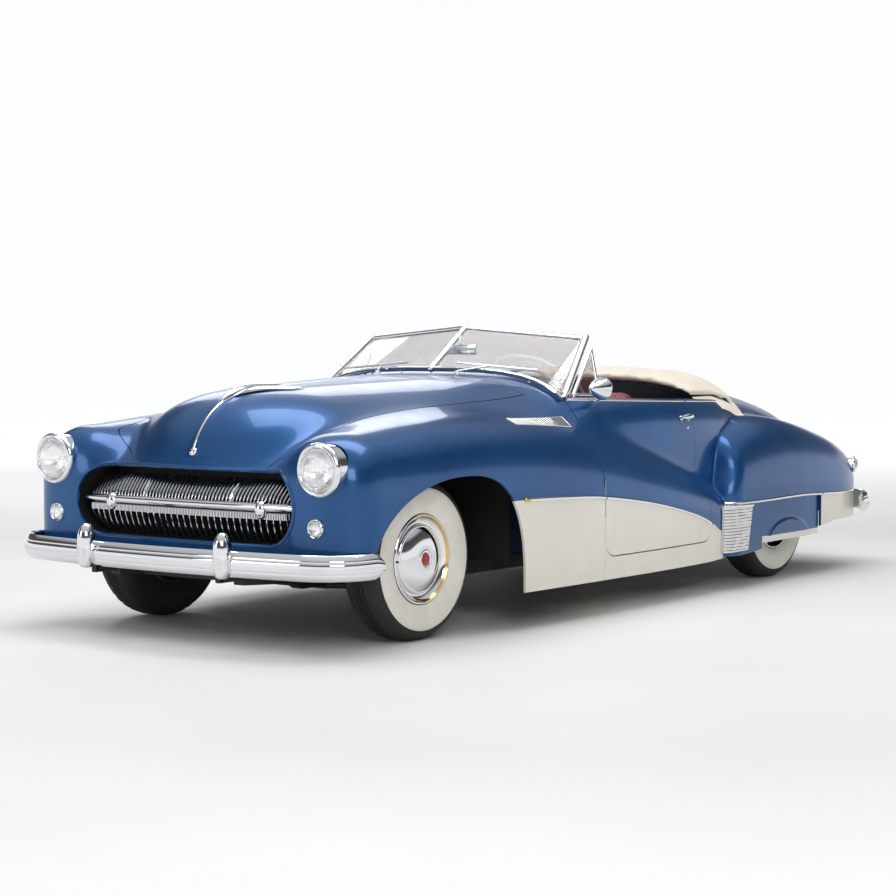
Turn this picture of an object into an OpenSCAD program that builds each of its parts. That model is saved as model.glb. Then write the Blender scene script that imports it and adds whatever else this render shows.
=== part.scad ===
// Full-size two-tone streamlined convertible with pontoon fenders, hinged doors, hood and trunk lid.
// X runs forward, Y to the car's left, Z up; the origin lies on the ground at the middle of the car.

/* [Overall] */
// front axle to rear axle
wheelbase = 3280; // [3200:10:3360]
// front axle to the front of the bumper guards
front_overhang = 880; // [865:5:900]
// rear axle to the rear of the bumper
rear_overhang = 1160; // [1130:5:1200]
// widest width across the front fenders
body_width = 2020; // [1990:5:2060]

/* [Body sheet] */
// thickness of fender, hood and lid panels
sheet = 14; // [10:1:20]
// gap between two panels that move apart
shut_gap = 7; // [6:0.5:9]
// gap between two fixed panels
seam_gap = 0.6; // [0.4:0.1:1]
// width over which hood and fenders run into each other
blend = 190; // [120:10:240]
// width over which the rear fenders run into the body
rear_blend = 36; // [32:2:42]
// front axle back to the hood's rear edge
hood_rear = 1010; // [990:5:1030]
// half width of the hood and cowl at the rear
hood_half_rear = 690; // [670:5:692]
// half width of the hood above the front axle
hood_half_mid = 610; // [590:5:640]
// half width of the hood at its front lip
hood_half_front = 430; // [400:5:460]
// angle at which the hood's front lip lies, from straight up
hood_lip_angle = 58; // [56:0.5:60]
// rear axle forward to the trunk lid's front edge
trunk_front = 30; // [0:5:60]
// half width of the trunk lid at its front
trunk_half_front = 560; // [530:5:590]
// half width of the trunk lid at its rear lip
trunk_half_rear = 450; // [420:5:480]
// lower edge of the sills above the ground
sill_bottom = 175; // [160:5:190]
// lower edge of the nose above the ground
nose_bottom = 350; // [330:5:370]
// lower edge of the tail above the ground
tail_bottom = 300; // [280:5:320]

/* [Front arch] */
// top of the front wheel opening above the ground
arch_top = 735; // [720:5:750]
// front axle back to the crown of the front wheel opening
arch_crown = 130; // [110:5:150]
// arch crown back to the opening's rear edge
arch_back = 440; // [420:5:460]
// arch crown forward to the opening's front edge
arch_fore = 610; // [590:5:640]

/* [Rear opening] */
// rear axle forward to the front of the skirted opening
skirt_fore = 450; // [430:5:470]
// rear axle back to the rear of the skirted opening
skirt_back = 280; // [260:5:300]
// top of the skirted opening above the ground
skirt_top = 455; // [440:5:470]
// lower edge of the skirt above the ground
skirt_bottom = 235; // [225:5:250]

/* [Doors] */
// front axle back to the doors' front edge
door_front = 1230; // [1220:5:1250]
// front axle back to the doors' rear edge
door_rear = 2310; // [2290:5:2330]
// lower edge of the doors above the ground
door_bottom = 285; // [275:5:300]
// radius of the doors' lower corners
door_corner = 90; // [70:5:110]
// half width of the cabin between the door trims
cabin_half = 700; // [696:1:720]
// height of the belt line at the windshield
belt_front = 1056; // [1050:1:1062]
// height of the belt line behind the doors
belt_rear = 1026; // [1020:1:1032]

/* [Wheels] */
// tyre radius
tyre_r = 365; // [355:1:372]
// tyre width
tyre_w = 200; // [190:2:210]
// radius at which the tyre sits on the rim
rim_r = 196; // [190:1:200]
// distance between the front tyre centres
front_track = 1520; // [1500:5:1530]
// distance between the rear tyre centres
rear_track = 1500; // [1480:5:1510]
// radius of the wheel spindles
spindle_r = 20; // [16:1:24]
// clearance around turning pins
pin_gap = 0.05; // [0.03:0.01:0.09]

/* [Chassis] */
// half distance between the frame rails' centres
rail_half = 375; // [365:5:380]
// width of a frame rail
rail_w = 60; // [50:2:66]
// height of a frame rail
rail_h = 100; // [90:5:105]
// lower face of the frame rails amidships
rail_z = 190; // [185:5:195]
// thickness of the floor sheet
floor_t = 12; // [8:1:16]
// radius of the tow bolt holes in the rear cross member
tow_bolt_r = 8.5; // [6.5:0.5:10.5]
// spacing of the tow bolts across the car
tow_bolt_y = 240; // [200:10:260]
// spacing of the tow bolts along the car
tow_bolt_x = 60; // [50:5:70]

/* [Fittings] */
// height of the front bumper bar's centre
bumper_z = 385; // [375:1:395]
// height of the rear bumper bar's centre
rear_bumper_z = 385; // [375:1:395]
// height of the bumper bars
bumper_h = 116; // [100:2:124]
// half width of the front bumper before its side runs
bumper_half = 996; // [994:1:1004]
// half distance between the bumper guards
guard_half = 411; // [380:5:440]
// radius of the headlamp bezels
headlamp_r = 118; // [110:1:122]
// height of the headlamp centres
headlamp_z = 790; // [780:1:800]
// half distance between the headlamp centres
headlamp_half = 800; // [795:1:805]
// half width of the grille opening
grille_half = 655; // [630:5:660]
// height of the grille opening
grille_h = 318; // [300:2:326]
// height of the grille opening's centre
grille_z = 612; // [606:1:618]
// number of vertical grille bars
grille_bars = 45; // [35:2:51]
// thickness of a grille bar
grille_bar_t = 8; // [6:0.5:10]
// radius of the steering wheel
steer_r = 215; // [205:5:220]

/* [Hidden] */
half_w = body_width / 2;
length = front_overhang + wheelbase + rear_overhang;
front_axle_x = length / 2 - front_overhang;
rear_axle_x = front_axle_x - wheelbase;
axle_z = tyre_r;
step = wheelbase / 6;
nose_x = front_axle_x + 150;
tail_x = rear_axle_x - 430;
axis_z = 550;
hood_rear_x = front_axle_x - hood_rear;
door_front_x = front_axle_x - door_front;
door_rear_x = front_axle_x - door_rear;
trunk_front_x = rear_axle_x + trunk_front;
deck_front_x = rear_axle_x + 480;
cowl_rear_x = door_front_x - 75;
floor_z = rail_z + rail_h + 0.3;
tunnel_h = 120;
tunnel_half = 120;
rail_kick = 235;
seat_z = floor_z + floor_t + tunnel_h + 0.3;
tail_lip_angle = 82;
headlamp_x = nose_x + 450;
$fn = 48;

// upper body from the nose to the tail: half width, height of widest point, crown height, squareness
UPPER = [
  [0.62, 600, 1095, 2.35],
  [0.745, 650, 1128, 2.4],
  [0.80, 700, 1152, 2.6],
  [0.86, 740, 1172, 3.1],
  [0.885, 760, 1168, 3.7],
  [0.89, 760, 1150, 3.7],
  [0.842, 740, 1118, 3.2],
  [0.725, 700, 1082, 2.8],
  [0.672, 620, 1000, 2.5],
  [0.60, 520, 860, 2.3],
];
// front fender: middle out from the car's centre, half width, height of widest point, crown height
FRONT_FENDER = [
  [0.735, 0.235, 660, 930],
  [0.742, 0.252, 650, 976],
  [0.750, 0.252, 625, 972],
  [0.755, 0.248, 585, 890],
  [0.758, 0.240, 520, 752],
  [0.765, 0.220, 440, 605],
  [0.775, 0.190, 360, 465],
];
// rear fender from the door back: middle out from the centre, half width, widest height, crown height
REAR_FENDER = [
  [0.715, 0.283, 520, 690],
  [0.715, 0.283, 520, 918],
  [0.710, 0.280, 520, 932],
  [0.695, 0.266, 510, 805],
  [0.640, 0.255, 470, 690],
];

function lerp(a, b, t) = a + (b - a) * t;
function smooth(t) = let (c = max(0, min(1, t))) c * c * (3 - 2 * c);
function row(tab, i) = tab[max(0, min(len(tab) - 1, i))];

// uniform cubic spline through a table's rows, read at position p counted in rows
function spline(tab, p) =
  let (
    q = max(0, min(len(tab) - 1, p)),
    i = floor(q),
    f = q - i,
    g = 1 - f
  )
  (
    g * g * g * row(tab, i - 1)
    + (3 * f * f * f - 6 * f * f + 4) * row(tab, i)
    + (3 * g * g * g - 6 * g * g + 4) * row(tab, i + 1)
    + f * f * f * row(tab, i + 2)
  ) / 6;

function melt(a, b, k) =
  let (h = max(k - abs(a - b), 0) / k)
  min(a, b) - h * h * h * k / 6;
function cap(x, from, run) = max(0, (x - from) / run);
// superellipse section that falls away slowly below its widest height
function hoop(y, z, hw, mid, top, low, n) =
  pow(pow(abs(y) / hw, n) + pow(z > mid ? (z - mid) / (top - mid) : (mid - z) / low, n), 1 / n);
function closed(q, c, m) = pow(pow(q, m) + pow(c, m), 1 / m);

function upper_d(x, y, z) =
  let (
    s = spline(UPPER, (front_axle_x + step - x) / step),
    q = hoop(y, z, s[0] * half_w, s[1], s[2], 5000, s[3]),
    c = max(cap(x, front_axle_x + 80, 525), cap(x, rear_axle_x - 480, -570))
  )
  (closed(q, c, 2.5) - 1) * 400;
function front_fender_d(x, y, z) =
  let (
    s = spline(FRONT_FENDER, (front_axle_x + step - x) / step),
    q = hoop(y - s[0] * half_w, z, s[1] * half_w, s[2], s[3], 1700, 2.4)
  )
  (closed(q, max(cap(x, front_axle_x + 430, 225), cap(x, door_rear_x - 40, -270)), 2.8) - 1) * 250;
function rear_fender_d(x, y, z) =
  let (
    s = spline(REAR_FENDER, (rear_axle_x + 2 * step - x) / step),
    q = hoop(y - s[0] * half_w, z, s[1] * half_w, s[2], s[3], 1500, 2.4),
    c = max(cap(x, rear_axle_x + 640, 155), cap(x, rear_axle_x - 480, -570))
  )
  (closed(q, c, 2.7) - 1) * 260;
function nose_d(x, y, z) =
  (closed(hoop(y, z, 0.80 * half_w, 480, 800, 5000, 5), cap(x, front_axle_x + 250, 395), 3.5) - 1) * 300;
// distance-like value of the whole painted body, below nought inside
function body_d(p) =
  let (
    y = abs(p[1]),
    top = melt(upper_d(p[0], y, p[2]), front_fender_d(p[0], y, p[2]), blend),
    front = p[0] > front_axle_x ? melt(top, nose_d(p[0], y, p[2]), 120) : top
  )
  p[0] < door_rear_x + 200 ? melt(front, rear_fender_d(p[0], y, p[2]), rear_blend) : front;
// point where a ray from inside leaves the body
function cast(o, d, lo = 60, hi = 1500, k = 17) =
  k == 0 ? o + d * (lo + hi) / 2
  : let (m = (lo + hi) / 2) body_d(o + d * m) > 0 ? cast(o, d, lo, m, k - 1) : cast(o, d, m, hi, k - 1);

// outward direction of the body's surface at a point
function normal(p) =
  let (
    g = [for (a = [[1, 0, 0], [0, 1, 0], [0, 0, 1]]) body_d(p + a) - body_d(p - a)]
  )
  g / norm(g);

// edges shared by neighbouring panels
function belt(x) = lerp(belt_front, belt_rear, (door_front_x - x) / (door_front_x - door_rear_x));
function hood_half(x) = lerp(hood_half_mid, hood_half_rear, smooth((nose_x - x) / (nose_x - hood_rear_x)));
function hood_half_fan(a) = lerp(hood_half_mid, hood_half_front, smooth((a / hood_lip_angle - 0.6) / 0.4));
fan_angles = [for (t = [0.2, 0.4, 0.55, 0.65, 0.74, 0.81]) t * hood_lip_angle];
split_angle = hood_lip_angle - 7;
lip_angles = [for (i = [0:2]) lerp(split_angle, hood_lip_angle, i / 3)];
function trunk_half(x) = trunk_half_front;
function trunk_half_fan(a) = lerp(trunk_half_front, trunk_half_rear, smooth(a / tail_lip_angle));
function arch(x) =
  let (
    u = x - (front_axle_x - arch_crown),
    base = u < 0 ? sill_bottom : nose_bottom,
    t = u < 0 ? -u / arch_back : u / arch_fore,
    n = u < 0 ? 2.7 : 2.1
  )
  t >= 1 ? base : base + (arch_top - base) * pow(1 - pow(t, n), 1 / n);
function door_low(x) =
  let (d = max(0, door_corner - (x - door_rear_x), door_corner - (door_front_x - x)))
  door_bottom + door_corner - sqrt(max(0, door_corner * door_corner - d * d));
function quarter_low(x) =
  x > rear_axle_x + skirt_fore || x < rear_axle_x - skirt_back
    ? lerp(sill_bottom + 20, tail_bottom, smooth((door_rear_x - x) / 1700)) : skirt_top;

// upright ray, leaned forward or back by an angle beyond the pivots
function roof_pt(x, a, y) = cast([x, y, axis_z], [sin(a), 0, cos(a)]);
// one column of a side panel from its top point down to a low edge, or its inner side at depth t;
// beside a roof panel the inner top edge stays straight under the outer one
function column(top, low, n, t = 0, beside = true) =
  let (
    ox = max(tail_x, min(nose_x, top[0])),
    plan = [top[0] - ox, top[1]],
    az = norm(plan) < 1 ? 0 : atan2(plan[1], plan[0]),
    e = atan2(top[2] - axis_z, norm(plan)),
    lean = atan2(top[0] - ox, top[2] - axis_z),
    up = [sin(lean), 0, cos(lean)]
  )
  [
    for (j = [0:n])
      let (
        v = j / n,
        el = e * (1 - v),
        d = [cos(el) * cos(az), cos(el) * sin(az), sin(el)],
        p = cast([ox, 0, lerp(axis_z, low, v)], d)
      )
      p - (beside && j == 0 ? up : d) * t
  ];

// closed shell between an outer and an inner grid of points
module shell(outer, inner, flip = false) {
  m = len(outer);
  n = len(outer[0]);
  function o(i, j) = i * n + j;
  function q(i, j) = m * n + i * n + j;
  faces = concat(
    [for (i = [0:m - 2], j = [0:n - 2]) each [
      [o(i, j), o(i + 1, j), o(i + 1, j + 1)], [o(i, j), o(i + 1, j + 1), o(i, j + 1)],
      [q(i, j), q(i + 1, j + 1), q(i + 1, j)], [q(i, j), q(i, j + 1), q(i + 1, j + 1)]]],
    [for (i = [0:m - 2], e = [0, n - 1]) each e == 0
      ? [[o(i, 0), q(i, 0), q(i + 1, 0)], [o(i, 0), q(i + 1, 0), o(i + 1, 0)]]
      : [[o(i, e), o(i + 1, e), q(i + 1, e)], [o(i, e), q(i + 1, e), q(i, e)]]],
    [for (j = [0:n - 2], e = [0, m - 1]) each e == 0
      ? [[o(0, j), o(0, j + 1), q(0, j + 1)], [o(0, j), q(0, j + 1), q(0, j)]]
      : [[o(e, j), q(e, j + 1), o(e, j + 1)], [o(e, j), q(e, j), q(e, j + 1)]]]
  );
  polyhedron(
    points = concat([for (r = outer) each r], [for (r = inner) each r]),
    faces = flip ? [for (f = faces) [f[2], f[1], f[0]]] : faces
  );
}
// closed solid through a row of rings of equal point count
module loft(rings) {
  m = len(rings) - 1;
  n = len(rings[0]);
  polyhedron(
    points = [for (r = rings) each r],
    faces = concat(
      [for (i = [0:m - 1], j = [0:n - 1]) let (k = (j + 1) % n) each [
        [i * n + j, (i + 1) * n + k, (i + 1) * n + j], [i * n + j, i * n + k, (i + 1) * n + k]]],
      [[for (j = [n - 1:-1:0]) j], [for (j = [0:n - 1]) m * n + j]]
    )
  );
}
module both() {
  children();
  mirror([0, 1, 0]) children();
}
// round bar between two points
module rod(a, b, r) {
  d = b - a;
  translate(a)
    rotate([0, acos(d[2] / norm(d)), atan2(d[1], d[0])])
      cylinder(r = r, h = norm(d));
}
// box with its lowest corner and its size
module block(at, size) {
  translate(at) cube(size);
}
// side outline in X and Z, drawn from one Y to another
module slab(y0, y1) {
  translate([0, y1, 0]) rotate([90, 0, 0]) linear_extrude(height = y1 - y0) children();
}

// top edges of the front clip, from the middle of the nose round to the doors
function front_top_fan(a) = roof_pt(nose_x, a, hood_half_fan(a) + shut_gap / 2);
function front_top(x) = roof_pt(x, 0, hood_half(x) + (x > hood_rear_x ? shut_gap / 2 : seam_gap / 2));
lip_step = 0.35;

module nose() {
  n = 11;
  left = concat(
    [for (i = [0:5]) roof_pt(nose_x, hood_lip_angle + lip_step, i / 5 * hood_half_front)],
    [for (i = [1:3]) front_top_fan(lerp(hood_lip_angle, split_angle, i / 3))]
  );
  tops = concat([for (i = [len(left) - 1:-1:1]) [left[i][0], -left[i][1], left[i][2]]], left);
  color("steelblue")
    difference() {
      shell(
        [for (p = tops) column(p, nose_bottom, n)],
        [for (p = tops) column(p, nose_bottom, n, sheet)]
      );
      grille_hole(nose_x + 200, nose_x + 700, 0);
    }
}
// flattened oval of the grille opening, drawn along X
module grille_hole(x0, x1, grow) {
  r = grille_h / 2 + grow;
  h = grille_half + grow - r;
  translate([x0, 0, grille_z])
    rotate([90, 0, 90])
      linear_extrude(height = x1 - x0) {
        square([2 * h, 2 * r], center = true);
        for (s = [-1, 1]) translate([s * h, 0]) circle(r = r, $fn = 64);
      }
}
module front_fender() {
  n = 11;
  fan = concat([front_top_fan(split_angle)], [for (i = [len(fan_angles) - 1:-1:0]) front_top_fan(fan_angles[i])]);
  xs = concat(
    [for (i = [0:14]) lerp(nose_x, front_axle_x - arch_crown - arch_back + 2, i / 14)],
    [for (i = [0:4]) lerp(front_axle_x - arch_crown - arch_back - 2, door_front_x + shut_gap / 2, i / 4)]
  );
  tops = concat(fan, [for (x = xs) front_top(x)]);
  function low(p) = p[0] > nose_x ? arch(nose_x + 960 * cos(atan2(p[1], p[0] - nose_x))) : arch(p[0]);
  color("steelblue")
    difference() {
      shell(
        [for (i = [0:len(tops) - 1]) column(fender_seam(tops, i), low(tops[i]), n)],
        [for (i = [0:len(tops) - 1]) column(fender_seam(tops, i), low(tops[i]), n, sheet)]
      );
      translate([nose_x, headlamp_half, headlamp_z])
        rotate([0, 90, 0])
          cylinder(r = headlamp_r - 8 + 0.3, h = 800);
      translate([headlamp_x + 44.5, headlamp_half, headlamp_z])
        rotate([0, 90, 0])
          cylinder(r = headlamp_r + 0.5, h = 300);
      translate([nose_x, headlamp_half - 17, headlamp_z - 248])
        rotate([0, 90, 0])
          cylinder(r = 42.3, h = 800);
    }
}
// the fender's first column stands a seam away from the nose
function fender_seam(tops, i) =
  i > 0 ? tops[i] : tops[0] + seam_gap * (tops[1] - tops[0]) / norm(tops[1] - tops[0]);
module front_fender_left() { front_fender(); }
module front_fender_right() { mirror([0, 1, 0]) front_fender(); }

module hood() {
  xs = [for (i = [0:8]) lerp(hood_rear_x + shut_gap / 2, nose_x, i / 8)];
  fan = concat(fan_angles, lip_angles, [hood_lip_angle - lip_step]);
  n = 16;
  function across(h, i) = lerp(-h, h, i / n);
  outer = concat(
    [for (x = xs) [for (i = [0:n]) roof_pt(x, 0, across(hood_half(x) - shut_gap / 2, i))]],
    [for (a = fan) [for (i = [0:n]) roof_pt(nose_x, a, across(hood_half_fan(a) - shut_gap / 2, i))]]
  );
  inner = concat(
    [for (r = [0:8]) [for (p = outer[r]) p - [0, 0, sheet]]],
    [for (r = [0:len(fan) - 1]) [for (p = outer[r + 9]) p - sheet * [sin(fan[r]), 0, cos(fan[r])]]]
  );
  color("royalblue") shell(outer, inner, true);
}
module cowl() {
  n = 16;
  xs = [for (i = [0:3]) lerp(cowl_rear_x, hood_rear_x - shut_gap / 2, i / 3)];
  half = hood_half_rear - seam_gap / 2;
  outer = [for (x = xs) [for (i = [0:n]) roof_pt(x, 0, lerp(-half, half, i / n))]];
  wall_x = hood_rear_x - 40;
  foot = floor_z + floor_t + 0.3;
  knee = foot + tunnel_h + 20;
  wall = [for (x = [wall_x, wall_x + 12])
    [for (i = [0:n]) roof_pt(x, 0, lerp(-1, 1, i / n) * (hood_half_rear - 4)) - [0, 0, sheet + 0.9]]];
  color("steelblue") {
    shell(outer, [for (r = outer) [for (p = r) p - [0, 0, sheet]]], true);
    shell(wall, [for (r = wall) [for (p = r) [p[0], p[1], knee]]], true);
    both() block([wall_x, tunnel_half + 14, foot], [12, hood_half_rear - 18 - tunnel_half, knee - foot]);
  }
}
module dashboard() {
  n = 16;
  low = belt_front - 290;
  xs = [for (i = [0:5]) cowl_rear_x + 55 - 30 * i];
  function drop(x) = x > cowl_rear_x ? sheet + 0.7 : sheet + 0.7 + 70 * pow((cowl_rear_x - x) / 95, 2);
  function end(i) = i == 0 || i == n ? 6 : 0;
  top = [for (x = xs) [for (i = [0:n])
    roof_pt(x, 0, lerp(-1, 1, i / n) * (cabin_half - 16)) - [0, 0, drop(x) + end(i)]]];
  color("maroon")
    difference() {
      shell(top, [for (r = top) [for (p = r) [p[0], p[1], low]]]);
      on_column() translate([0, 0, -700]) cylinder(r = 26.4, h = 900);
    }
}
module door() {
  n = 14;
  m = 9;
  x0 = door_front_x - shut_gap / 2;
  x1 = door_rear_x + shut_gap / 2;
  xs = concat(
    [x0, x0 - 8, x0 - 25, x0 - 55],
    [for (i = [1:m - 1]) lerp(x0 - 55, x1 + 55, i / m)],
    [x1 + 55, x1 + 25, x1 + 8, x1]
  );
  function z_at(x, j) = lerp(door_low(x) + shut_gap / 2, belt(x), 1 - pow(1 - j / n, 1.3));
  outer = [for (x = xs) [for (j = [0:n]) cast([x, 0, z_at(x, j)], [0, 1, 0])]];
  inner = [for (x = xs) [for (j = [0:n])
    [x + 62 * pow((x0 - x) / (x0 - x1), 3), cabin_half + shut_gap - 4, z_at(x, j)]]];
  color("lightsteelblue") shell(outer, inner, true);
}
module door_left() { door(); }
module door_right() { mirror([0, 1, 0]) door(); }
module sills() {
  n = 3;
  x0 = door_front_x - shut_gap / 2 + 3.2;
  x1 = door_rear_x + 0.3;
  xs = concat(
    [x0, x0 - 8, x0 - 25, x0 - 55, x0 - 100],
    [for (i = [1:5]) lerp(x0 - 100, x1 + 100, i / 6)],
    [x1 + 100, x1 + 55, x1 + 25, x1 + 8, x1]
  );
  function z_at(x, j) = lerp(sill_bottom, door_low(x) - shut_gap / 2, j / n);
  color("white")
    both()
      shell(
        [for (x = xs) [for (j = [0:n]) cast([x, 0, z_at(x, j)], [0, 1, 0])]],
        [for (x = xs) [for (j = [0:n]) [x, cabin_half, z_at(x, j)]]],
        true
      );
}
// top edges of the rear clip, from the doors round to the middle of the tail
function deck_half(x) =
  lerp(
    cast([deck_front_x, 0, belt(deck_front_x)], [0, 1, 0])[1],
    trunk_half_front,
    smooth((deck_front_x - x) / (deck_front_x - trunk_front_x))
  );
function rear_top(x) =
  x > deck_front_x ? cast([x, 0, belt(x)], [0, 1, 0])
  : roof_pt(x, 0, x > trunk_front_x ? deck_half(x) + seam_gap / 2 : trunk_half(x) + shut_gap / 2);
function rear_top_fan(a) = roof_pt(tail_x, -a, trunk_half_fan(a) + shut_gap / 2);
tail_edge_angles = [for (i = [0:7]) tail_lip_angle * (1 - i / 8)];
tail_split = 3;
module rear_quarter() {
  n = 13;
  s0 = rear_axle_x + skirt_fore;
  s1 = rear_axle_x - skirt_back;
  xs = concat(
    [for (t = [0, 0.17, 0.31, 0.35, 0.405, 0.48, 0.58, 0.68, 0.84, 1]) lerp(door_rear_x - 0.3, s0 + 1, t)],
    [for (i = [0:10]) lerp(s0 - 1, s1 + 1, i / 10)],
    [for (i = [0:2]) lerp(s1 - 1, tail_x, i / 2)]
  );
  fan = [for (i = [7:-1:tail_split]) rear_top_fan(tail_edge_angles[i])];
  tops = concat([for (x = xs) rear_top(x)], fan);
  e = len(tops) - 1;
  last = tops[e] + seam_gap * (tops[e - 1] - tops[e]) / norm(tops[e - 1] - tops[e]);
  function low(p) = p[0] < tail_x ? tail_bottom : quarter_low(p[0]);
  ends = [for (i = [0:e]) i < e ? tops[i] : last];
  color("steelblue")
    difference() {
      shell(
        [for (i = [0:e]) column(ends[i], low(tops[i]), n)],
        [for (i = [0:e]) column(ends[i], low(tops[i]), n, sheet, tops[i][0] <= deck_front_x)]
      );
      on_tail_lamp() translate([0, 0, -80]) cylinder(r = 36.4, h = 200);
    }
}
module rear_quarter_left() { rear_quarter(); }
module rear_quarter_right() { mirror([0, 1, 0]) rear_quarter(); }
module tail_panel() {
  n = 13;
  left = concat(
    [for (i = [0:4]) roof_pt(tail_x, -tail_lip_angle - lip_step, i / 4 * trunk_half_rear)],
    [for (i = [1:tail_split]) rear_top_fan(tail_edge_angles[i])]
  );
  tops = concat([for (i = [len(left) - 1:-1:1]) [left[i][0], -left[i][1], left[i][2]]], left);
  color("steelblue")
    shell(
      [for (p = tops) column(p, tail_bottom, n)],
      [for (p = tops) column(p, tail_bottom, n, sheet)],
      true
    );
}
module trunk_lid() {
  n = 12;
  xs = [for (i = [0:4]) lerp(trunk_front_x - shut_gap / 2, tail_x, i / 4)];
  fan = [for (i = [1:9]) (tail_lip_angle - lip_step) * i / 9];
  function across(h, i) = lerp(h, -h, i / n);
  outer = concat(
    [for (x = xs) [for (i = [0:n]) roof_pt(x, 0, across(trunk_half(x) - shut_gap / 2, i))]],
    [for (a = fan) [for (i = [0:n]) roof_pt(tail_x, -a, across(trunk_half_fan(a) - shut_gap / 2, i))]]
  );
  inner = concat(
    [for (r = [0:4]) [for (p = outer[r]) p - [0, 0, sheet]]],
    [for (r = [0:8]) [for (p = outer[r + 5]) p - sheet * [-sin(fan[r]), 0, cos(fan[r])]]]
  );
  color("royalblue") shell(outer, inner, true);
}
module rear_deck() {
  n = 14;
  s0 = rear_axle_x + skirt_fore - 1;
  s1 = rear_axle_x - skirt_back + 1;
  shared = [for (i = [10:-1:0]) lerp(s0, s1, i / 10)];
  xs = concat(
    [trunk_front_x + shut_gap / 2],
    [for (x = shared) if (x > trunk_front_x + 20 && x < deck_front_x - 8) x],
    [deck_front_x]
  );
  outer = [for (x = xs) [for (i = [0:n]) roof_pt(x, 0, lerp(-1, 1, i / n) * (deck_half(x) - seam_gap))]];
  color("steelblue") shell(outer, [for (r = outer) [for (p = r) p - [0, 0, sheet]]], true);
}
module fender_skirts() {
  n = 5;
  m = 12;
  xs = [for (i = [0:m]) lerp(rear_axle_x + skirt_fore - 4, rear_axle_x - skirt_back + 4, i / m)];
  function z_at(j) = lerp(skirt_bottom, skirt_top + 30, j / n);
  color("royalblue")
    both()
      shell(
        [for (x = xs) [for (j = [0:n]) cast([x, 0, z_at(j)], [0, 1, 0]) - [0, sheet + 0.4, 0]]],
        [for (x = xs) [for (j = [0:n]) cast([x, 0, z_at(j)], [0, 1, 0]) - [0, 2 * sheet, 0]]],
        true
      );
}

// chassis
module frame_rails() {
  z0 = rail_z;
  z1 = rail_z + rail_h;
  k = rail_kick;
  x0 = length / 2 - 190;
  x1 = -length / 2 + 212.6;
  color("dimgray")
    both()
      slab(rail_half - rail_w / 2, rail_half + rail_w / 2)
        polygon([
          [x0, z0 + 90], [x0 - 330, z0 + 70], [front_axle_x + 300, z0 + 40], [front_axle_x - 300, z0 + 40],
          [front_axle_x - 650, z0], [rear_axle_x + 740, z0],
          [rear_axle_x + 330, z0 + k], [rear_axle_x - 330, z0 + k],
          [rear_axle_x - 620, z0 + 90], [x1, z0 + 90], [x1, z1 + 70], [rear_axle_x - 600, z1 + 70],
          [rear_axle_x - 300, z1 + k], [rear_axle_x + 300, z1 + k],
          [rear_axle_x + 700, z1], [front_axle_x - 640, z1],
          [front_axle_x - 290, z1 + 40], [front_axle_x + 290, z1 + 40], [x0 - 330, z1 + 60], [x0, z1 + 60],
        ]);
}
module cross_members() {
  w = rail_half - rail_w / 2 - 0.1;
  x1 = -length / 2 + 180;
  color("dimgray")
    difference() {
      union() {
        block([front_axle_x - 70, -w, rail_z + 15], [140, 2 * w, 70]);
        block([front_axle_x + 480, -w, rail_z + 80], [60, 2 * w, 60]);
        block([front_axle_x - 1150, -w, rail_z + 10], [120, 2 * w, 60]);
        block([rear_axle_x + 760, -w, rail_z + 10], [120, 2 * w, 60]);
        block([rear_axle_x - 300, -w, rail_z + rail_kick + 5], [70, 2 * w, 50]);
        block([x1 + 10, -w, rail_z + 95], [140, 2 * w, 65]);
      }
      for (dx = [-1, 1], dy = [-1, 1])
        translate([x1 + 50 + dx * tow_bolt_x / 2, dy * tow_bolt_y / 2, 0])
          cylinder(r = tow_bolt_r, h = 900);
    }
}
module floor_pan() {
  x0 = hood_rear_x - 28;
  x1 = rear_axle_x + 710;
  w = cabin_half - 0.3;
  t = tunnel_half;
  top = floor_z + floor_t + tunnel_h;
  high = rail_z + rail_h + rail_kick + 0.3;
  low = rail_z + rail_h + 70.3;
  tx = -length / 2 + 222.4;
  color("gray")
    difference() {
      union() {
        block([x1, -w, floor_z], [x0 - x1, 2 * w, floor_t]);
        block([x1, -t - 12, floor_z], [x0 - x1, 2 * t + 24, top - floor_z]);
        block([x1 - 12, -w + 30.3, floor_z], [12.5, 2 * w - 60.6, high + floor_t - floor_z]);
        slab(-rail_half - 50, rail_half + 50)
          polygon([
            [tx, low], [rear_axle_x - 600, low], [rear_axle_x - 300, high], [x1, high], [x1, high + floor_t],
            [rear_axle_x - 308, high + floor_t], [rear_axle_x - 608, low + floor_t], [tx, low + floor_t],
          ]);
      }
      block([x1 - 30, -t, 0], [x0 - x1 + 60, 2 * t, top - floor_t]);
      for (s = [-1, 1]) block([x1 - 40, s * rail_half - rail_w / 2 - 2, 0], [40, rail_w + 4, high - 0.2]);
    }
}
module engine() {
  x0 = front_axle_x - 760;
  x1 = front_axle_x + 330;
  color("darkgreen") {
    block([x0, -140, rail_z + 85.2], [x1 - x0, 280, 470]);
    block([x0 + 20, -210, rail_z + 330], [x1 - x0 - 60, 69.9, 150]);
    block([x0 + 120, -110, rail_z + 555.4], [x1 - x0 - 240, 220, 60]);
    translate([front_axle_x - 250, 0, rail_z + 615.6]) cylinder(r = 150, h = 110);
    block([x0 - 640, -110, rail_z + 70.2], [639.9, 220, 130]);
    block([front_axle_x + 400, -300, rail_z + 142], [70, 600, 470]);
    block([front_axle_x + 330.1, -60, rail_z + 250], [69.8, 120, 120]);
  }
}
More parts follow.
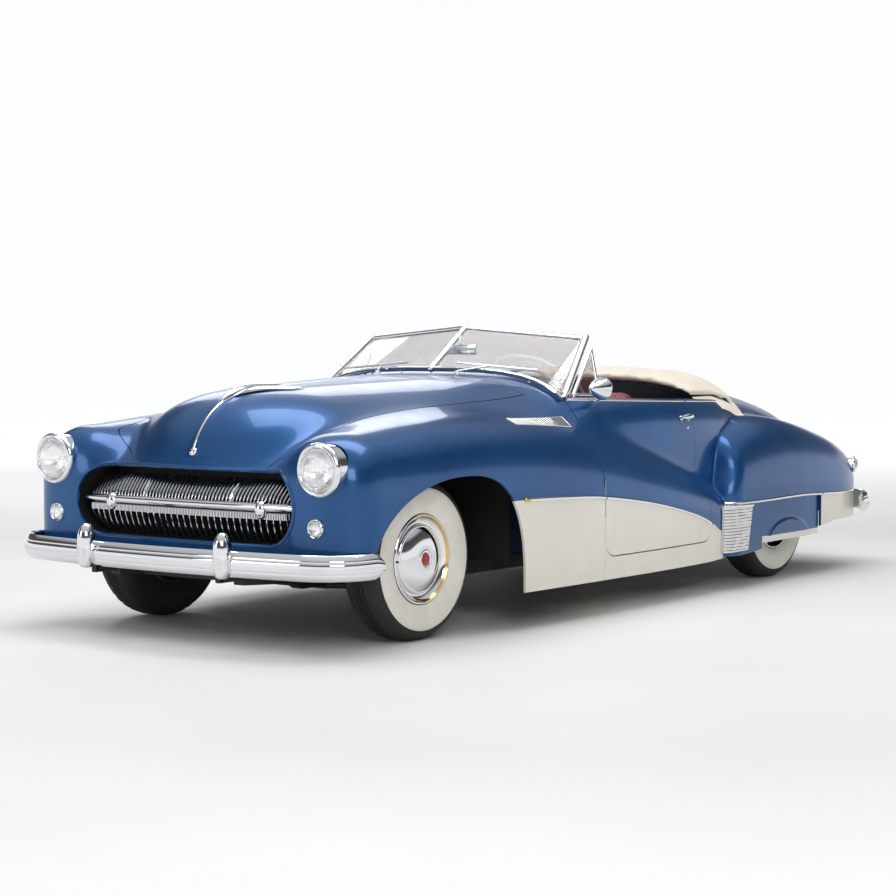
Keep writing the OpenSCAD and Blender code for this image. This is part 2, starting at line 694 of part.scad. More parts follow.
module exhaust() {
  y = -250;
  z = rail_z - 20;
  x0 = front_axle_x - 700;
  color("silver") {
    rod([x0, y, z], [rear_axle_x + 1500, y, z], 26);
    rod([rear_axle_x + 1560, y, z], [rear_axle_x + 940, y, z], 60);
    rod([rear_axle_x + 960, y, z], [-length / 2 + 110, y, z], 25);
    translate([x0, y, z - 30]) cylinder(r = 30, h = rail_z + 430 - z);
    rod([x0, y, rail_z + 390], [x0, -210.2, rail_z + 390], 24);
    for (x = [front_axle_x - 1090, rear_axle_x + 820])
      translate([x, y, z]) cylinder(r = 9, h = rail_z + 9.9 - z);
  }
}
module fuel_tank() {
  color("dimgray") block([rear_axle_x - 829.7, -190, rail_z - 10], [320, 520, 180]);
}
module front_suspension() {
  y0 = rail_half + rail_w / 2 + 0.1;
  yk = front_track / 2 - tyre_w / 2 - 10;
  color("dimgray")
    both() {
      for (s = [-1, 1]) {
        rod([front_axle_x + s * 150, y0 + 9.6, axle_z - 130], [front_axle_x, yk, axle_z - 130], 16);
        rod([front_axle_x + s * 90, y0 - 20, axle_z + 140], [front_axle_x, yk, axle_z + 140], 13);
      }
      translate([front_axle_x, yk, axle_z - 150]) cylinder(r = 26, h = 40);
      translate([front_axle_x, yk, axle_z + 120]) cylinder(r = 24, h = 40);
      foot = rail_z + rail_h + 40.2;
      block([front_axle_x - 110, y0 - rail_w - 0.1, foot], [220, rail_w, axle_z + 165 - foot]);
      rod([front_axle_x, yk - 90, axle_z - 115], [front_axle_x, yk - 118, axle_z + 140], 32);
    }
}
module knuckle() {
  yk = front_track / 2 - tyre_w / 2 - 10;
  color("gray") {
    translate([front_axle_x, yk, axle_z - 109.7]) cylinder(r = 22, h = 229.4);
    rod([front_axle_x, yk, axle_z], [front_axle_x, front_track / 2 + 60, axle_z], spindle_r);
    rod([front_axle_x, yk, axle_z], [front_axle_x, yk + 62, axle_z], 48);
    rod([front_axle_x, yk + 62, axle_z], [front_axle_x, yk + 74, axle_z], 150);
    block([front_axle_x - 170, yk - 30, axle_z - 80], [160, 24, 30]);
  }
}
module knuckle_left() { knuckle(); }
module knuckle_right() { mirror([0, 1, 0]) knuckle(); }
module rear_axle() {
  yt = rear_track / 2;
  color("dimgray") {
    rod([rear_axle_x, -yt + 88, axle_z], [rear_axle_x, yt - 88, axle_z], 42);
    rod([rear_axle_x, -yt - 60, axle_z], [rear_axle_x, yt + 60, axle_z], spindle_r);
    translate([rear_axle_x, 0, axle_z]) sphere(r = 130);
    for (s = [-1, 1]) {
      rod([rear_axle_x, s * (yt - 100), axle_z], [rear_axle_x, s * (yt - 88), axle_z], 150);
      block([rear_axle_x - 45, s * rail_half - 25, axle_z], [90, 50, rail_z + rail_kick - axle_z]);
    }
    rod([rear_axle_x + 100, 0, axle_z], [front_axle_x - 1401.2, 0, rail_z + 140], 38);
  }
}
// tyre and wheel turn about Y; their outer side faces away from the car
module tyre() {
  r = tyre_r;
  w = tyre_w / 2;
  color("black")
    rotate([-90, 0, 0])
      rotate_extrude($fn = 72)
        polygon([
          [rim_r, -70], [rim_r + 22, -82], [rim_r + 85, -w],
          [r - 55, -w + 2], [r - 22, -w + 14], [r - 8, -w + 30],
          [r, -w + 62], [r, w - 62], [r - 8, w - 30], [r - 22, w - 14], [r - 55, w - 2], [rim_r + 85, w],
          [rim_r + 22, 82], [rim_r, 70],
        ]);
}
module wheel() {
  g = spindle_r + pin_gap;
  color("silver")
    rotate([-90, 0, 0])
      rotate_extrude($fn = 72)
        polygon([
          [rim_r - 0.3, -70], [rim_r - 0.3, 70], [rim_r + 5, 84], [rim_r - 6, 86],
          [rim_r - 30, 66], [165, 60],
          [155, 74], [120, 92], [70, 103], [26, 107], [0, 108], [0, 65], [g, 65], [g, -10], [60, -10],
          [60, 10], [150, 20], [168, 10], [rim_r - 18, -30], [rim_r - 14, -70],
        ]);
}
module at_wheel(x, y) {
  translate([x, y, axle_z]) rotate([0, 0, y < 0 ? 180 : 0]) children();
}
module tyre_front_left() { at_wheel(front_axle_x, front_track / 2) tyre(); }
module tyre_front_right() { at_wheel(front_axle_x, -front_track / 2) tyre(); }
module tyre_rear_left() { at_wheel(rear_axle_x, rear_track / 2) tyre(); }
module tyre_rear_right() { at_wheel(rear_axle_x, -rear_track / 2) tyre(); }
module wheel_front_left() { at_wheel(front_axle_x, front_track / 2) wheel(); }
module wheel_front_right() { at_wheel(front_axle_x, -front_track / 2) wheel(); }
module wheel_rear_left() { at_wheel(rear_axle_x, rear_track / 2) wheel(); }
module wheel_rear_right() { at_wheel(rear_axle_x, -rear_track / 2) wheel(); }

// windshield in two panes that meet at the middle in a shallow vee and follow the cowl at the foot
ws_foot_mid = [hood_rear_x - 170, 0];
ws_foot_side = [door_front_x + 30, 792];
ws_rake = 298;
ws_top_mid = 1402;
ws_top_side = 1346;
ws_lift = 21;
function ws_foot(u) = let (p = lerp(ws_foot_mid, ws_foot_side, u)) roof_pt(p[0], 0, p[1]);
function ws_pt(s, u, v) =
  let (
    f = ws_foot(u),
    top = [f[0] - ws_rake * lerp(1, 1.2, u), f[1] - 106 * u, lerp(ws_top_mid, ws_top_side, u)],
    p = lerp(f + [0, 0, ws_lift], top, v)
  )
  [p[0], s * p[1], p[2]];
// ring of the foot rail about its middle line
function ws_ring(s, u) =
  let (
    d = ws_pt(s, u + 0.004, 0) - ws_pt(s, u - 0.004, 0),
    e = d / norm(d),
    across = [e[1], -e[0], 0] / norm([e[0], e[1]]),
    up = cross(across, e)
  )
  [for (i = [0:11]) ws_pt(s, u, 0) + 13 * (cos(30 * i) * across + sin(30 * i) * up)];
module windshield_frame() {
  us = [0.006, 0.2, 0.4, 0.55, 0.7, 0.8, 0.88, 0.95, 0.994];
  color("silver") {
    rod(ws_pt(1, 0, 0), ws_pt(1, 0, 1), 17);
    translate(ws_pt(1, 0, 0)) sphere(r = 17.6);
    translate(ws_pt(1, 0, 1)) sphere(r = 17.6);
    for (s = [-1, 1]) {
      rod(ws_pt(s, 0, 1), ws_pt(s, 1, 1), 13);
      rod(ws_pt(s, 1, 0.07), ws_pt(s, 1, 1), 22);
      translate(ws_pt(s, 1, 1)) sphere(r = 22.7);
      rod(ws_pt(s, 1, 0.02), ws_pt(s, 1, 0.08), 16);
      loft([for (u = us) ws_ring(s, u)]);
      for (u = [0.25, 0.5, 0.75]) {
        foot = ws_foot(u);
        n = normal(foot);
        f = foot + (0.6 + 8 * sqrt(1 - n[2] * n[2])) * n;
        rod([f[0], s * f[1], f[2]], ws_pt(s, u, 0), 8);
      }
    }
  }
}
module windshield_glass() {
  us = [0.0268, 0.2, 0.4, 0.55, 0.7, 0.8, 0.88, 0.962];
  back = [6, 0, 0];
  color("lightblue")
    for (s = [-1, 1]) {
      low = [for (u = us) ws_pt(s, u, 0.041)];
      top = [for (u = us) ws_pt(s, u, 0.952)];
      shell([low, top], [[for (p = low) p - back], [for (p = top) p - back]], s < 0);
    }
}
module vent_window() {
  x0 = door_front_x - 95;
  x1 = x0 - 232;
  y = 768;
  a = [x0, y, belt(x0) + 12];
  b = [x1, y, belt(x1) + 12];
  c = [x1 - 22, y - 62, belt(x1) + 242];
  color("silver") {
    rod(a, b, 9);
    rod(b, c, 9);
    rod(a, c, 9);
    for (p = [a, b, c]) translate(p) sphere(r = 9.8);
    for (p = [a, b]) translate([p[0], p[1], belt(p[0]) + 0.9]) cylinder(r = 7, h = 11);
  }
}
module vent_window_left() { vent_window(); }
module vent_window_right() { mirror([0, 1, 0]) vent_window(); }

// flat padded cover over the folded top, from behind the seats to the deck
module top_boot() {
  n = 7;
  m = 20;
  reach = cast([deck_front_x, 0, belt(deck_front_x)], [0, 1, 0])[1] - 22;
  function under(x, y) = roof_pt(min(x, deck_front_x), 0, y)[2] + 1 + 7 * pow(y / reach, 4);
  function fill(t) = 0.34 + 0.66 * pow(sin(180 * lerp(0.1, 0.97, t)), 0.6);
  function ring(y) =
    let (
      k = abs(y) / reach,
      front = deck_front_x + 255 - 60 * k * k,
      rear = deck_front_x - 372 + 150 * pow(k, 4),
      h = 50 * (1 - 0.3 * pow(k, 3))
    )
    concat(
      [for (i = [0:n]) let (x = lerp(front, rear, i / n)) [x, y, under(x, y) + h * fill(i / n)]],
      [for (i = [n:-1:0]) let (x = lerp(front, rear, i / n)) [x, y, under(x, y)]]
    );
  color("ivory") loft([for (i = [0:m]) ring(lerp(-reach, reach, i / m))]);
}
module seat_shape(cx, z0, depth, back_h, lean) {
  hull() {
    translate([cx + depth - 60, z0 + 60]) circle(r = 60);
    translate([cx + depth - 60, z0 + 200]) circle(r = 60);
    translate([cx + 60, z0 + 60]) circle(r = 60);
    translate([cx + 60, z0 + 170]) circle(r = 60);
  }
  hull() {
    translate([cx + 60, z0 + 120]) circle(r = 60);
    translate([cx + 60, z0 + 220]) circle(r = 90);
    translate([cx + 60 - lean, z0 + back_h - 70]) circle(r = 70);
  }
}
module front_seat() {
  cx = door_rear_x + 200;
  color("maroon") {
    slab(-cabin_half + 60, cabin_half - 60) seat_shape(cx, seat_z, 560, 640, 90);
    both() block([cx + 40, tunnel_half + 20, floor_z + floor_t + 0.3], [470, 480, tunnel_h + 60]);
  }
}
module rear_seat() {
  cx = rear_axle_x + 520;
  color("maroon") {
    slab(-cabin_half + 90, cabin_half - 90)
      seat_shape(cx, rail_z + rail_h + rail_kick + floor_t + 0.6, 400, 460, 30);
    both()
      block([rear_axle_x + 730, tunnel_half + 20, floor_z + floor_t + 0.3], [170, 440, rail_kick + 30]);
  }
}
module side_trims() {
  x0 = door_rear_x - 70;
  x1 = deck_front_x + 20;
  color("maroon")
    both()
      block(
        [x1, cabin_half - 30, floor_z + floor_t + 0.3],
        [x0 - x1, 30, belt_rear - 80 - floor_z - floor_t]
      );
}
steer_c = [door_front_x - 335, 380, 1012];
steer_tilt = 62;
module on_column() {
  translate(steer_c) rotate([0, -steer_tilt, 0]) children();
}
module steering_wheel() {
  color("ivory")
    on_column() {
      rotate_extrude($fn = 60) translate([steer_r - 12, 0]) circle(r = 12, $fn = 20);
      for (a = [90, 270])
        rotate([0, 0, a]) translate([20, 0, -6]) rotate([0, 90, 0]) cylinder(r = 9, h = steer_r - 34);
      rotate_extrude()
        polygon([
          [8 + pin_gap, -40], [45, -40], [48, -10], [30, 14], [0, 16], [0, 6], [8 + pin_gap, 6],
        ]);
    }
}
module steering_column() {
  color("gray")
    on_column() {
      translate([0, 0, -500]) cylinder(r = 26, h = 455);
      translate([0, 0, -100]) cylinder(r = 8, h = 100);
    }
}
// bumper bar swept along its plan line: a shallow front arc, tight corners and short side runs
bumper_front_r = 5200;
bumper_corner_r = 240;
bumper_turn = 82;
function bumper_plan(half, run) =
  let (
    r1 = bumper_front_r,
    r2 = bumper_corner_r,
    a1 = asin((half - r2) / (r1 - r2)),
    corner = [for (i = [1:8])
      let (a = lerp(a1, bumper_turn, i / 8))
        [(r1 - r2) * cos(a1) + r2 * cos(a) - r1, (r1 - r2) * sin(a1) + r2 * sin(a), a]]
  )
  concat(
    [for (i = [0:5]) let (a = a1 * i / 5) [r1 * (cos(a) - 1), r1 * sin(a), a]],
    corner,
    [corner[7] + [-run * sin(bumper_turn), run * cos(bumper_turn), 0]]
  );
// section of the bar: how far it stands out and how high, from its foot round the front to its back
function bumper_section() =
  concat(
    [for (k = [-4:4]) let (v = k / 8 * (bumper_h - 8)) [sqrt(78 * 78 - v * v) - 56, v]],
    [[-8, bumper_h / 2 - 12], [-8, 12 - bumper_h / 2]]
  );
module bumper(tip, half, run) {
  plan = bumper_plan(half, run);
  last = len(plan) - 1;
  line = concat([for (i = [last:-1:1]) [plan[i][0], -plan[i][1], -plan[i][2]]], plan);
  translate([tip - 22, 0, 0])
    loft([for (c = line) [for (q = bumper_section())
      [c[0] + q[0] * cos(c[2]), c[1] + q[0] * sin(c[2]), q[1]]]]);
}
module guard(h) {
  rotate_extrude($fn = 40)
    polygon([
      [0, -h], [24, -h], [36, -h + 14], [44, -h / 2], [46, 0], [42, h / 2], [30, h - 22], [14, h - 4], [0, h],
    ]);
}
module front_bumper() {
  tip = length / 2 - 24;
  color("silver") {
    translate([0, 0, bumper_z]) bumper(tip, bumper_half, 85);
    for (s = [-1, 1]) {
      translate([length / 2 - 46, s * guard_half, bumper_z + 36]) guard(100);
      block([length / 2 - 189.8, s * rail_half - 15, nose_bottom - 50], [136, 30, 45]);
      block([length / 2 - 74, s * rail_half - 15, nose_bottom - 50], [20, 30, 100]);
    }
  }
}
module rear_bumper() {
  tip = length / 2 - 24;
  color("silver")
    rotate([0, 0, 180]) {
      translate([0, 0, rear_bumper_z]) bumper(tip, bumper_half - 18, 95);
      for (s = [-1, 1]) {
        translate([length / 2 - 46, s * guard_half, rear_bumper_z + 36]) guard(100);
        block([length / 2 - 212.4, s * rail_half - 15, tail_bottom - 50], [158.6, 30, 44]);
        block([length / 2 - 74, s * rail_half - 15, tail_bottom - 50], [20, 30, 140]);
      }
    }
}
// bowed upright bars on a cross bar that stands on the front cross member
module grille() {
  r = grille_h / 2 - 6;
  h = grille_half - 6 - r;
  bow = 60;
  face = nose_x + 470;
  pitch = 2 * (h + r - 24) / (grille_bars - 1);
  color("silver") {
    for (i = [0:grille_bars - 1]) {
      y = -(h + r - 24) + i * pitch;
      e = max(0, abs(y) - h);
      z = sqrt(max(60 * 60, r * r - e * e));
      slab(y - grille_bar_t / 2, y + grille_bar_t / 2)
        polygon(concat(
          [for (k = [0:8]) let (t = -1 + k / 4) [face - bow * t * t, grille_z + t * z]],
          [for (k = [8:-1:0]) let (t = -1 + k / 4) [face - 22 - bow * t * t, grille_z + t * z]]
        ));
    }
    slab(-h - r + 8, h + r - 8)
      polygon([
        [face - 20, grille_z - 30], [face + 8, grille_z - 26], [face + 18, grille_z - 10],
        [face + 18, grille_z + 4], [face + 6, grille_z + 16], [face - 20, grille_z + 20],
      ]);
    block([face - 60, -h - r - 8, grille_z - 20], [42, 2 * (h + r + 8), 40]);
    both() block([face - 110, 285, rail_z + 140.2], [54, 30, grille_z - rail_z - 140]);
  }
}
module headlamps() {
  color("silver")
    both()
      translate([headlamp_x, headlamp_half, headlamp_z])
        rotate([0, 90, 0])
          rotate_extrude($fn = 64)
            polygon([
              [0, -10], [headlamp_r - 8, -10], [headlamp_r - 8, 45], [headlamp_r, 50],
              [headlamp_r - 2, 62], [headlamp_r - 14, 72],
              [headlamp_r - 24, 66], [70, 80], [40, 87], [0, 90],
            ]);
}
module parking_lamps() {
  color("silver")
    both()
      translate([nose_x + 430, headlamp_half - 17, headlamp_z - 248])
        rotate([0, 90, 0])
          rotate_extrude($fn = 48)
            polygon([[0, 0], [42, 0], [42, 66], [36, 80], [22, 92], [0, 98]]);
}
// tail lamp axis on the rear fender
tail_lamp_at = cast([rear_axle_x - 860, 0, 600], [0, 1, 0]);
tail_lamp_turn = 118;
module on_tail_lamp() {
  translate(tail_lamp_at) rotate([0, 90, tail_lamp_turn]) children();
}
module tail_lamps() {
  color("red")
    both()
      on_tail_lamp()
        rotate_extrude($fn = 40)
          polygon([[0, -40], [36, -40], [36, 12], [46, 14], [46, 22], [38, 34], [18, 42], [0, 44]]);
}
module mirror_left() {
  p = cast([door_front_x - 215, 0, belt(door_front_x - 215) - 26], [0, 1, 0]);
  n = normal(p);
  color("silver") {
    rod(p + 0.6 * n, p + 60 * n, 9);
    translate(p + 60 * n + [0, 0, 34])
      rotate([0, 90, 0])
        rotate_extrude($fn = 40)
          polygon([[0, -16], [52, -12], [58, 0], [56, 16], [44, 50], [26, 84], [8, 104], [0, 106]]);
  }
}
module wipers() {
  color("dimgray")
    for (s = [-1, 1]) {
      p = roof_pt(hood_rear_x - 50, 0, s * 250);
      n = normal(p);
      b0 = ws_pt(s, 0.2, 0.12) + [26, 0, 10];
      b1 = ws_pt(s, 0.8, 0.2) + [26, 0, 10];
      rod(p + 0.6 * n, p + 20 * n, 13);
      rod(p + 18 * n, lerp(b0, b1, 0.42), 5);
      rod(b0, b1, 6);
    }
}
// short pins in the shut lines on which doors, hood and lid turn
door_pin = let (p = cast([door_front_x, 0, 600], [0, 1, 0])) [p[0], p[1] - 1, 0];
hood_pin = roof_pt(hood_rear_x, 0, 0) - [0, 0, 1];
trunk_pin = roof_pt(trunk_front_x, 0, 0) - [0, 0, 1];
module hinge_pins() {
  r = shut_gap / 2 - 0.3;
  color("gray") {
    both() translate([door_pin[0], door_pin[1], 480]) cylinder(r = r, h = 180);
    for (p = [hood_pin, trunk_pin]) translate(p + [0, 45, 0]) rotate([90, 0, 0]) cylinder(r = r, h = 90);
  }
}

frame_rails();
cross_members();
floor_pan();
sills();
nose();
front_fender_left();
front_fender_right();
hood();
cowl();
dashboard();
door_left();
door_right();
rear_quarter_left();
rear_quarter_right();
fender_skirts();
rear_deck();
trunk_lid();
tail_panel();
windshield_frame();
windshield_glass();
vent_window_left();
vent_window_right();
top_boot();
front_seat();
rear_seat();
side_trims();
steering_wheel();
steering_column();
front_suspension();
knuckle_left();
knuckle_right();
rear_axle();
tyre_front_left();
tyre_front_right();
tyre_rear_left();
tyre_rear_right();
wheel_front_left();
wheel_front_right();
wheel_rear_left();
wheel_rear_right();
engine();
exhaust();
fuel_tank();
front_bumper();
rear_bumper();
grille();
headlamps();
parking_lamps();
tail_lamps();
mirror_left();
wipers();
hinge_pins();
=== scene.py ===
import math
import bpy
import bmesh
import numpy as np
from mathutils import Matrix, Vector


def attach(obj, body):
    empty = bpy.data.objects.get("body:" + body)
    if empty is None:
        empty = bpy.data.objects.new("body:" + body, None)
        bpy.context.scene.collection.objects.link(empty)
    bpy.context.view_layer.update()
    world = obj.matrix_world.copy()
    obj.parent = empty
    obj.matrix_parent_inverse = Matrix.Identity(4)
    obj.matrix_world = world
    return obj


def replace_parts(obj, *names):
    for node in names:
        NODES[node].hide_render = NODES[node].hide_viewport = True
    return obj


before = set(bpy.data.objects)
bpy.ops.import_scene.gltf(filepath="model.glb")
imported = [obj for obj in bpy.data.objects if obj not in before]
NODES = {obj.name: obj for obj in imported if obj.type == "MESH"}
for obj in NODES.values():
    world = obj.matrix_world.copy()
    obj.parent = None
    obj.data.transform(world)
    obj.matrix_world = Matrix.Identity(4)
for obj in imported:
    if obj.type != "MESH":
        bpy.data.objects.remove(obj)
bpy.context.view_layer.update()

scene = bpy.context.scene

# sizes shared with the part's source, in millimetres
WHEELBASE, HALF_W = 3280.0, 1010.0
FRONT_OVERHANG, REAR_OVERHANG = 880.0, 1160.0
LENGTH = FRONT_OVERHANG + WHEELBASE + REAR_OVERHANG
FX = LENGTH / 2 - FRONT_OVERHANG
RX = FX - WHEELBASE
STEP = WHEELBASE / 6
BLEND, REAR_BLEND = 190.0, 18.0
GAP, SEAM = 7.0, 0.6
NOSE_X, TAIL_X, AXIS_Z = FX + 150, RX - 430, 550.0
HOOD_REAR_X, DOOR_FRONT_X, DOOR_REAR_X = FX - 1010, FX - 1230, FX - 2310
TRUNK_X, DECK_X, COWL_X = RX + 30, RX + 480, FX - 1305
SILL_Z, NOSE_Z, TAIL_Z = 175.0, 350.0, 300.0
LIP_A, TAIL_A, SPLIT_A = 58.0, 82.0, 51.0
AXLE_Z = 365.0
HOOD_FRONT_HALF, HOOD_REAR_HALF, LIP_HALF = 610.0, 690.0, 430.0
TRUNK_HALF, TRUNK_LIP_HALF = 560.0, 450.0
ARCH_X, ARCH_Z, ARCH_FRONT, ARCH_BACK = FX - 130, 735.0, 610.0, 440.0
DOOR_LOW_Z, DOOR_CORNER = 285.0, 90.0
SKIRT_FRONT_X, SKIRT_REAR_X = RX + 450, RX - 280
HEAD_Y, HEAD_Z, HEAD_R = 800.0, 790.0, 118.0
PARK_Y, PARK_Z, PARK_R = HEAD_Y - 17, HEAD_Z - 248, 42.5
GRILLE_HALF, GRILLE_H, GRILLE_Z = 655.0, 318.0, 612.0
BUMPER_Z, GUARD_Y = 385.0, 411.0
CABIN = 700.0
SIDES = ((1, "left"), (-1, "right"))

# half width, widest height, crown height and squareness of the upper body, nose to tail
UPPER = np.array([
    [0.62, 600, 1095, 2.35], [0.745, 650, 1128, 2.4], [0.80, 700, 1152, 2.6], [0.86, 740, 1172, 3.1],
    [0.885, 760, 1168, 3.7], [0.89, 760, 1150, 3.7], [0.842, 740, 1118, 3.2], [0.725, 700, 1082, 2.8],
    [0.672, 620, 1000, 2.5], [0.60, 520, 860, 2.3]])
# middle, half width, widest height and crown height of the front and rear fenders
FRONT_FENDER = np.array([
    [0.735, 0.235, 660, 930], [0.742, 0.252, 650, 976], [0.750, 0.252, 625, 972], [0.755, 0.248, 585, 890],
    [0.758, 0.240, 520, 752], [0.765, 0.214, 440, 605], [0.765, 0.152, 360, 465]])
REAR_FENDER = np.array([
    [0.715, 0.283, 520, 690], [0.715, 0.283, 520, 918], [0.710, 0.280, 520, 932],
    [0.695, 0.266, 510, 805], [0.640, 0.255, 470, 690]])


def lerp(a, b, t):
    """Value at the share t of the way from a to b."""
    return a + (b - a) * t


def smooth(t):
    """Eased step from 0 to 1."""
    t = np.clip(t, 0, 1)
    return t * t * (3 - 2 * t)


def spline(tab, p):
    """Smooth rows between the rows of a table, at row number p."""
    n = len(tab)
    q = np.clip(p, 0, n - 1)
    i = np.floor(q).astype(int)
    f = (q - i)[..., None]
    g = 1 - f
    row = lambda k: tab[np.clip(i + k, 0, n - 1)]
    return (g**3 * row(-1) + (3 * f**3 - 6 * f * f + 4) * row(0)
            + (3 * g**3 - 6 * g * g + 4) * row(1) + f**3 * row(2)) / 6


def melt(a, b, k):
    """Union of two fields that run into each other over the width k."""
    h = np.maximum(k - np.abs(a - b), 0) / k
    return np.minimum(a, b) - h**3 * k / 6


def cap(x, start, run):
    """Share of the run that closes a form off beyond start."""
    return np.maximum(0, (x - start) / run)


def hoop(y, z, hw, mid, top, low, n):
    """Rounded cross-section: 1 on its outline, with squareness n."""
    zz = np.where(z > mid, (z - mid) / (top - mid), (mid - z) / low)
    return (np.power(np.abs(y) / hw, n) + np.power(np.abs(zz), n)) ** (1 / n)


def closed(q, c, m):
    """Cross-section value q with its end cap c."""
    return (q**m + c**m) ** (1 / m)


def body_d(p):
    """Distance-like value of the painted body, below nought inside."""
    x, y, z = p[..., 0], np.abs(p[..., 1]), p[..., 2]
    s = spline(UPPER, (FX + STEP - x) / STEP)
    q = hoop(y, z, s[..., 0] * HALF_W, s[..., 1], s[..., 2], 5000, s[..., 3])
    up = (closed(q, np.maximum(cap(x, FX + 80, 525), cap(x, RX - 480, -570)), 2.5) - 1) * 400
    s = spline(FRONT_FENDER, (FX + STEP - x) / STEP)
    q = hoop(y - s[..., 0] * HALF_W, z, s[..., 1] * HALF_W, s[..., 2], s[..., 3], 1700, 2.4)
    ff = (closed(q, np.maximum(cap(x, FX + 430, 225), cap(x, DOOR_REAR_X - 40, -270)), 2.8) - 1) * 250
    s = spline(REAR_FENDER, (RX + 2 * STEP - x) / STEP)
    q = hoop(y - s[..., 0] * HALF_W, z, s[..., 1] * HALF_W, s[..., 2], s[..., 3], 1500, 2.4)
    lead = x + 42 * smooth((z - 480) / 200)
    rf = (closed(q, np.maximum(cap(lead, RX + 660, 125), cap(x, RX - 480, -570)), 2.7) - 1) * 260
    no = (closed(hoop(y, z, 0.80 * HALF_W, 480, 800, 5000, 5), cap(x, FX + 250, 395), 3.5) - 1) * 300
    top = melt(up, ff, BLEND)
    front = np.where(x > FX, melt(top, no, 120), top)
    return np.where(x < DOOR_REAR_X + 200, melt(front, rf, REAR_BLEND), front)


def cast(o, d, lo=60.0, hi=1500.0, k=26):
    """Points where rays from o along d leave the body."""
    o, d = np.broadcast_arrays(np.asarray(o, float), np.asarray(d, float))
    a = np.full(o.shape[:-1], lo)
    b = np.full(o.shape[:-1], hi)
    for _ in range(k):
        m = (a + b) / 2
        out = body_d(o + d * m[..., None]) > 0
        b = np.where(out, m, b)
        a = np.where(out, a, m)
    return o + d * ((a + b) / 2)[..., None]


def gradient(fun, p, e=0.8):
    """Slope of a field at points."""
    return np.stack([fun(p + e * a) - fun(p - e * a) for a in np.eye(3)], -1) / (2 * e)


def normal(p):
    """Direction straight out of the body's surface."""
    g = gradient(body_d, np.asarray(p, float))
    return g / np.linalg.norm(g, axis=-1, keepdims=True)


def seat(p, k=3):
    """Move points onto the body's surface."""
    p = np.array(p, float)
    for _ in range(k):
        g = gradient(body_d, p)
        p = p - g * (body_d(p) / np.maximum((g * g).sum(-1), 1e-9))[..., None]
    return p


def roof(x, y, a=0.0):
    """Points of the surface above (x, y), along a line leant forward by a degrees."""
    x, y, a = np.broadcast_arrays(np.asarray(x, float), np.asarray(y, float),
                                  np.radians(np.asarray(a, float)))
    return cast(np.stack([x, y, np.full(x.shape, AXIS_Z)], -1), np.stack([np.sin(a), 0 * a, np.cos(a)], -1))


def side(x, z):
    """Points of the surface on the car's left, at (x, z)."""
    x, z = np.broadcast_arrays(np.asarray(x, float), np.asarray(z, float))
    return cast(np.stack([x, 0 * x, z], -1), [0.0, 1.0, 0.0])


def column(top, low, v):
    """Points from a top edge point down to a low edge, at the shares v of the way."""
    ox = min(max(top[0], TAIL_X), NOSE_X)
    px, py = top[0] - ox, top[1]
    run = math.hypot(px, py)
    az = math.atan2(py, px) if run > 1 else 0.0
    el = math.atan2(top[2] - AXIS_Z, run) * (1 - v)
    d = np.stack([np.cos(el) * math.cos(az), np.cos(el) * math.sin(az), np.sin(el)], -1)
    o = np.stack([np.full(v.shape, ox), 0 * v, AXIS_Z + (low - AXIS_Z) * v], -1)
    return cast(o, d)


def columns(tops, lows, v):
    """Grid of points, one column under each top edge point."""
    return np.array([column(t, l, v) for t, l in zip(tops, lows)])


def eased(n, edge=0.5):
    """Shares from 0 to 1, closer together at both ends."""
    t = np.linspace(0, 1, n)
    return lerp(t, smooth(t), edge)


def belt(x):
    """Height of the body's upper side edge."""
    return lerp(1056.0, 1026.0, (DOOR_FRONT_X - x) / (DOOR_FRONT_X - DOOR_REAR_X))


def hood_half(x):
    """Half width of the hood along the car."""
    return lerp(HOOD_FRONT_HALF, HOOD_REAR_HALF, smooth((NOSE_X - x) / (NOSE_X - HOOD_REAR_X)))


def hood_fan(a):
    """Half width of the hood round its front, by angle from straight up."""
    return lerp(HOOD_FRONT_HALF, LIP_HALF, smooth((a / LIP_A - 0.6) / 0.4))


def trunk_fan(a):
    """Half width of the trunk lid round its rear, by angle from straight up."""
    return lerp(TRUNK_HALF, TRUNK_LIP_HALF, smooth(a / TAIL_A))


def arch(x):
    """Lower edge of the front fender, over the wheel."""
    u = x - ARCH_X
    base = np.where(u < 0, SILL_Z, NOSE_Z)
    t = np.where(u < 0, -u / ARCH_BACK, u / ARCH_FRONT)
    n = np.where(u < 0, 2.7, 2.1)
    rise = np.power(np.maximum(0, 1 - np.power(t, n)), 1 / n)
    return np.where(t >= 1, base, base + (ARCH_Z - base) * rise)


def door_low(x):
    """Lower edge of the doors, with rounded corners."""
    d = np.maximum(0, DOOR_CORNER - np.minimum(x - DOOR_REAR_X, DOOR_FRONT_X - x))
    return DOOR_LOW_Z + DOOR_CORNER - np.sqrt(np.maximum(0, DOOR_CORNER**2 - d * d))


def deck_half(x):
    """Half width of the rear deck."""
    y0 = side(DECK_X, belt(DECK_X))[1]
    return lerp(y0, TRUNK_HALF, smooth((DECK_X - x) / (DECK_X - TRUNK_X)))


def cubic(a, b, c, d, f):
    """Point at the share f of the smooth piece from b to c, with a and d beyond its ends."""
    bend = (2 * a - 5 * b + 4 * c - d) * f * f
    return 0.5 * (2 * b + (c - a) * f + bend + (3 * b - a - 3 * c + d) * f**3)


def curve(points, n):
    """Smooth line through points, by cubic pieces."""
    p = np.asarray(points, float)
    p = np.vstack([2 * p[0] - p[1], p, 2 * p[-1] - p[-2]])
    m = len(p) - 3
    t = np.linspace(0, m, n)
    i = np.minimum(t.astype(int), m - 1)
    f = (t - i)[:, None]
    a, b, c, d = p[i], p[i + 1], p[i + 2], p[i + 3]
    return cubic(a, b, c, d, f)


# meshes

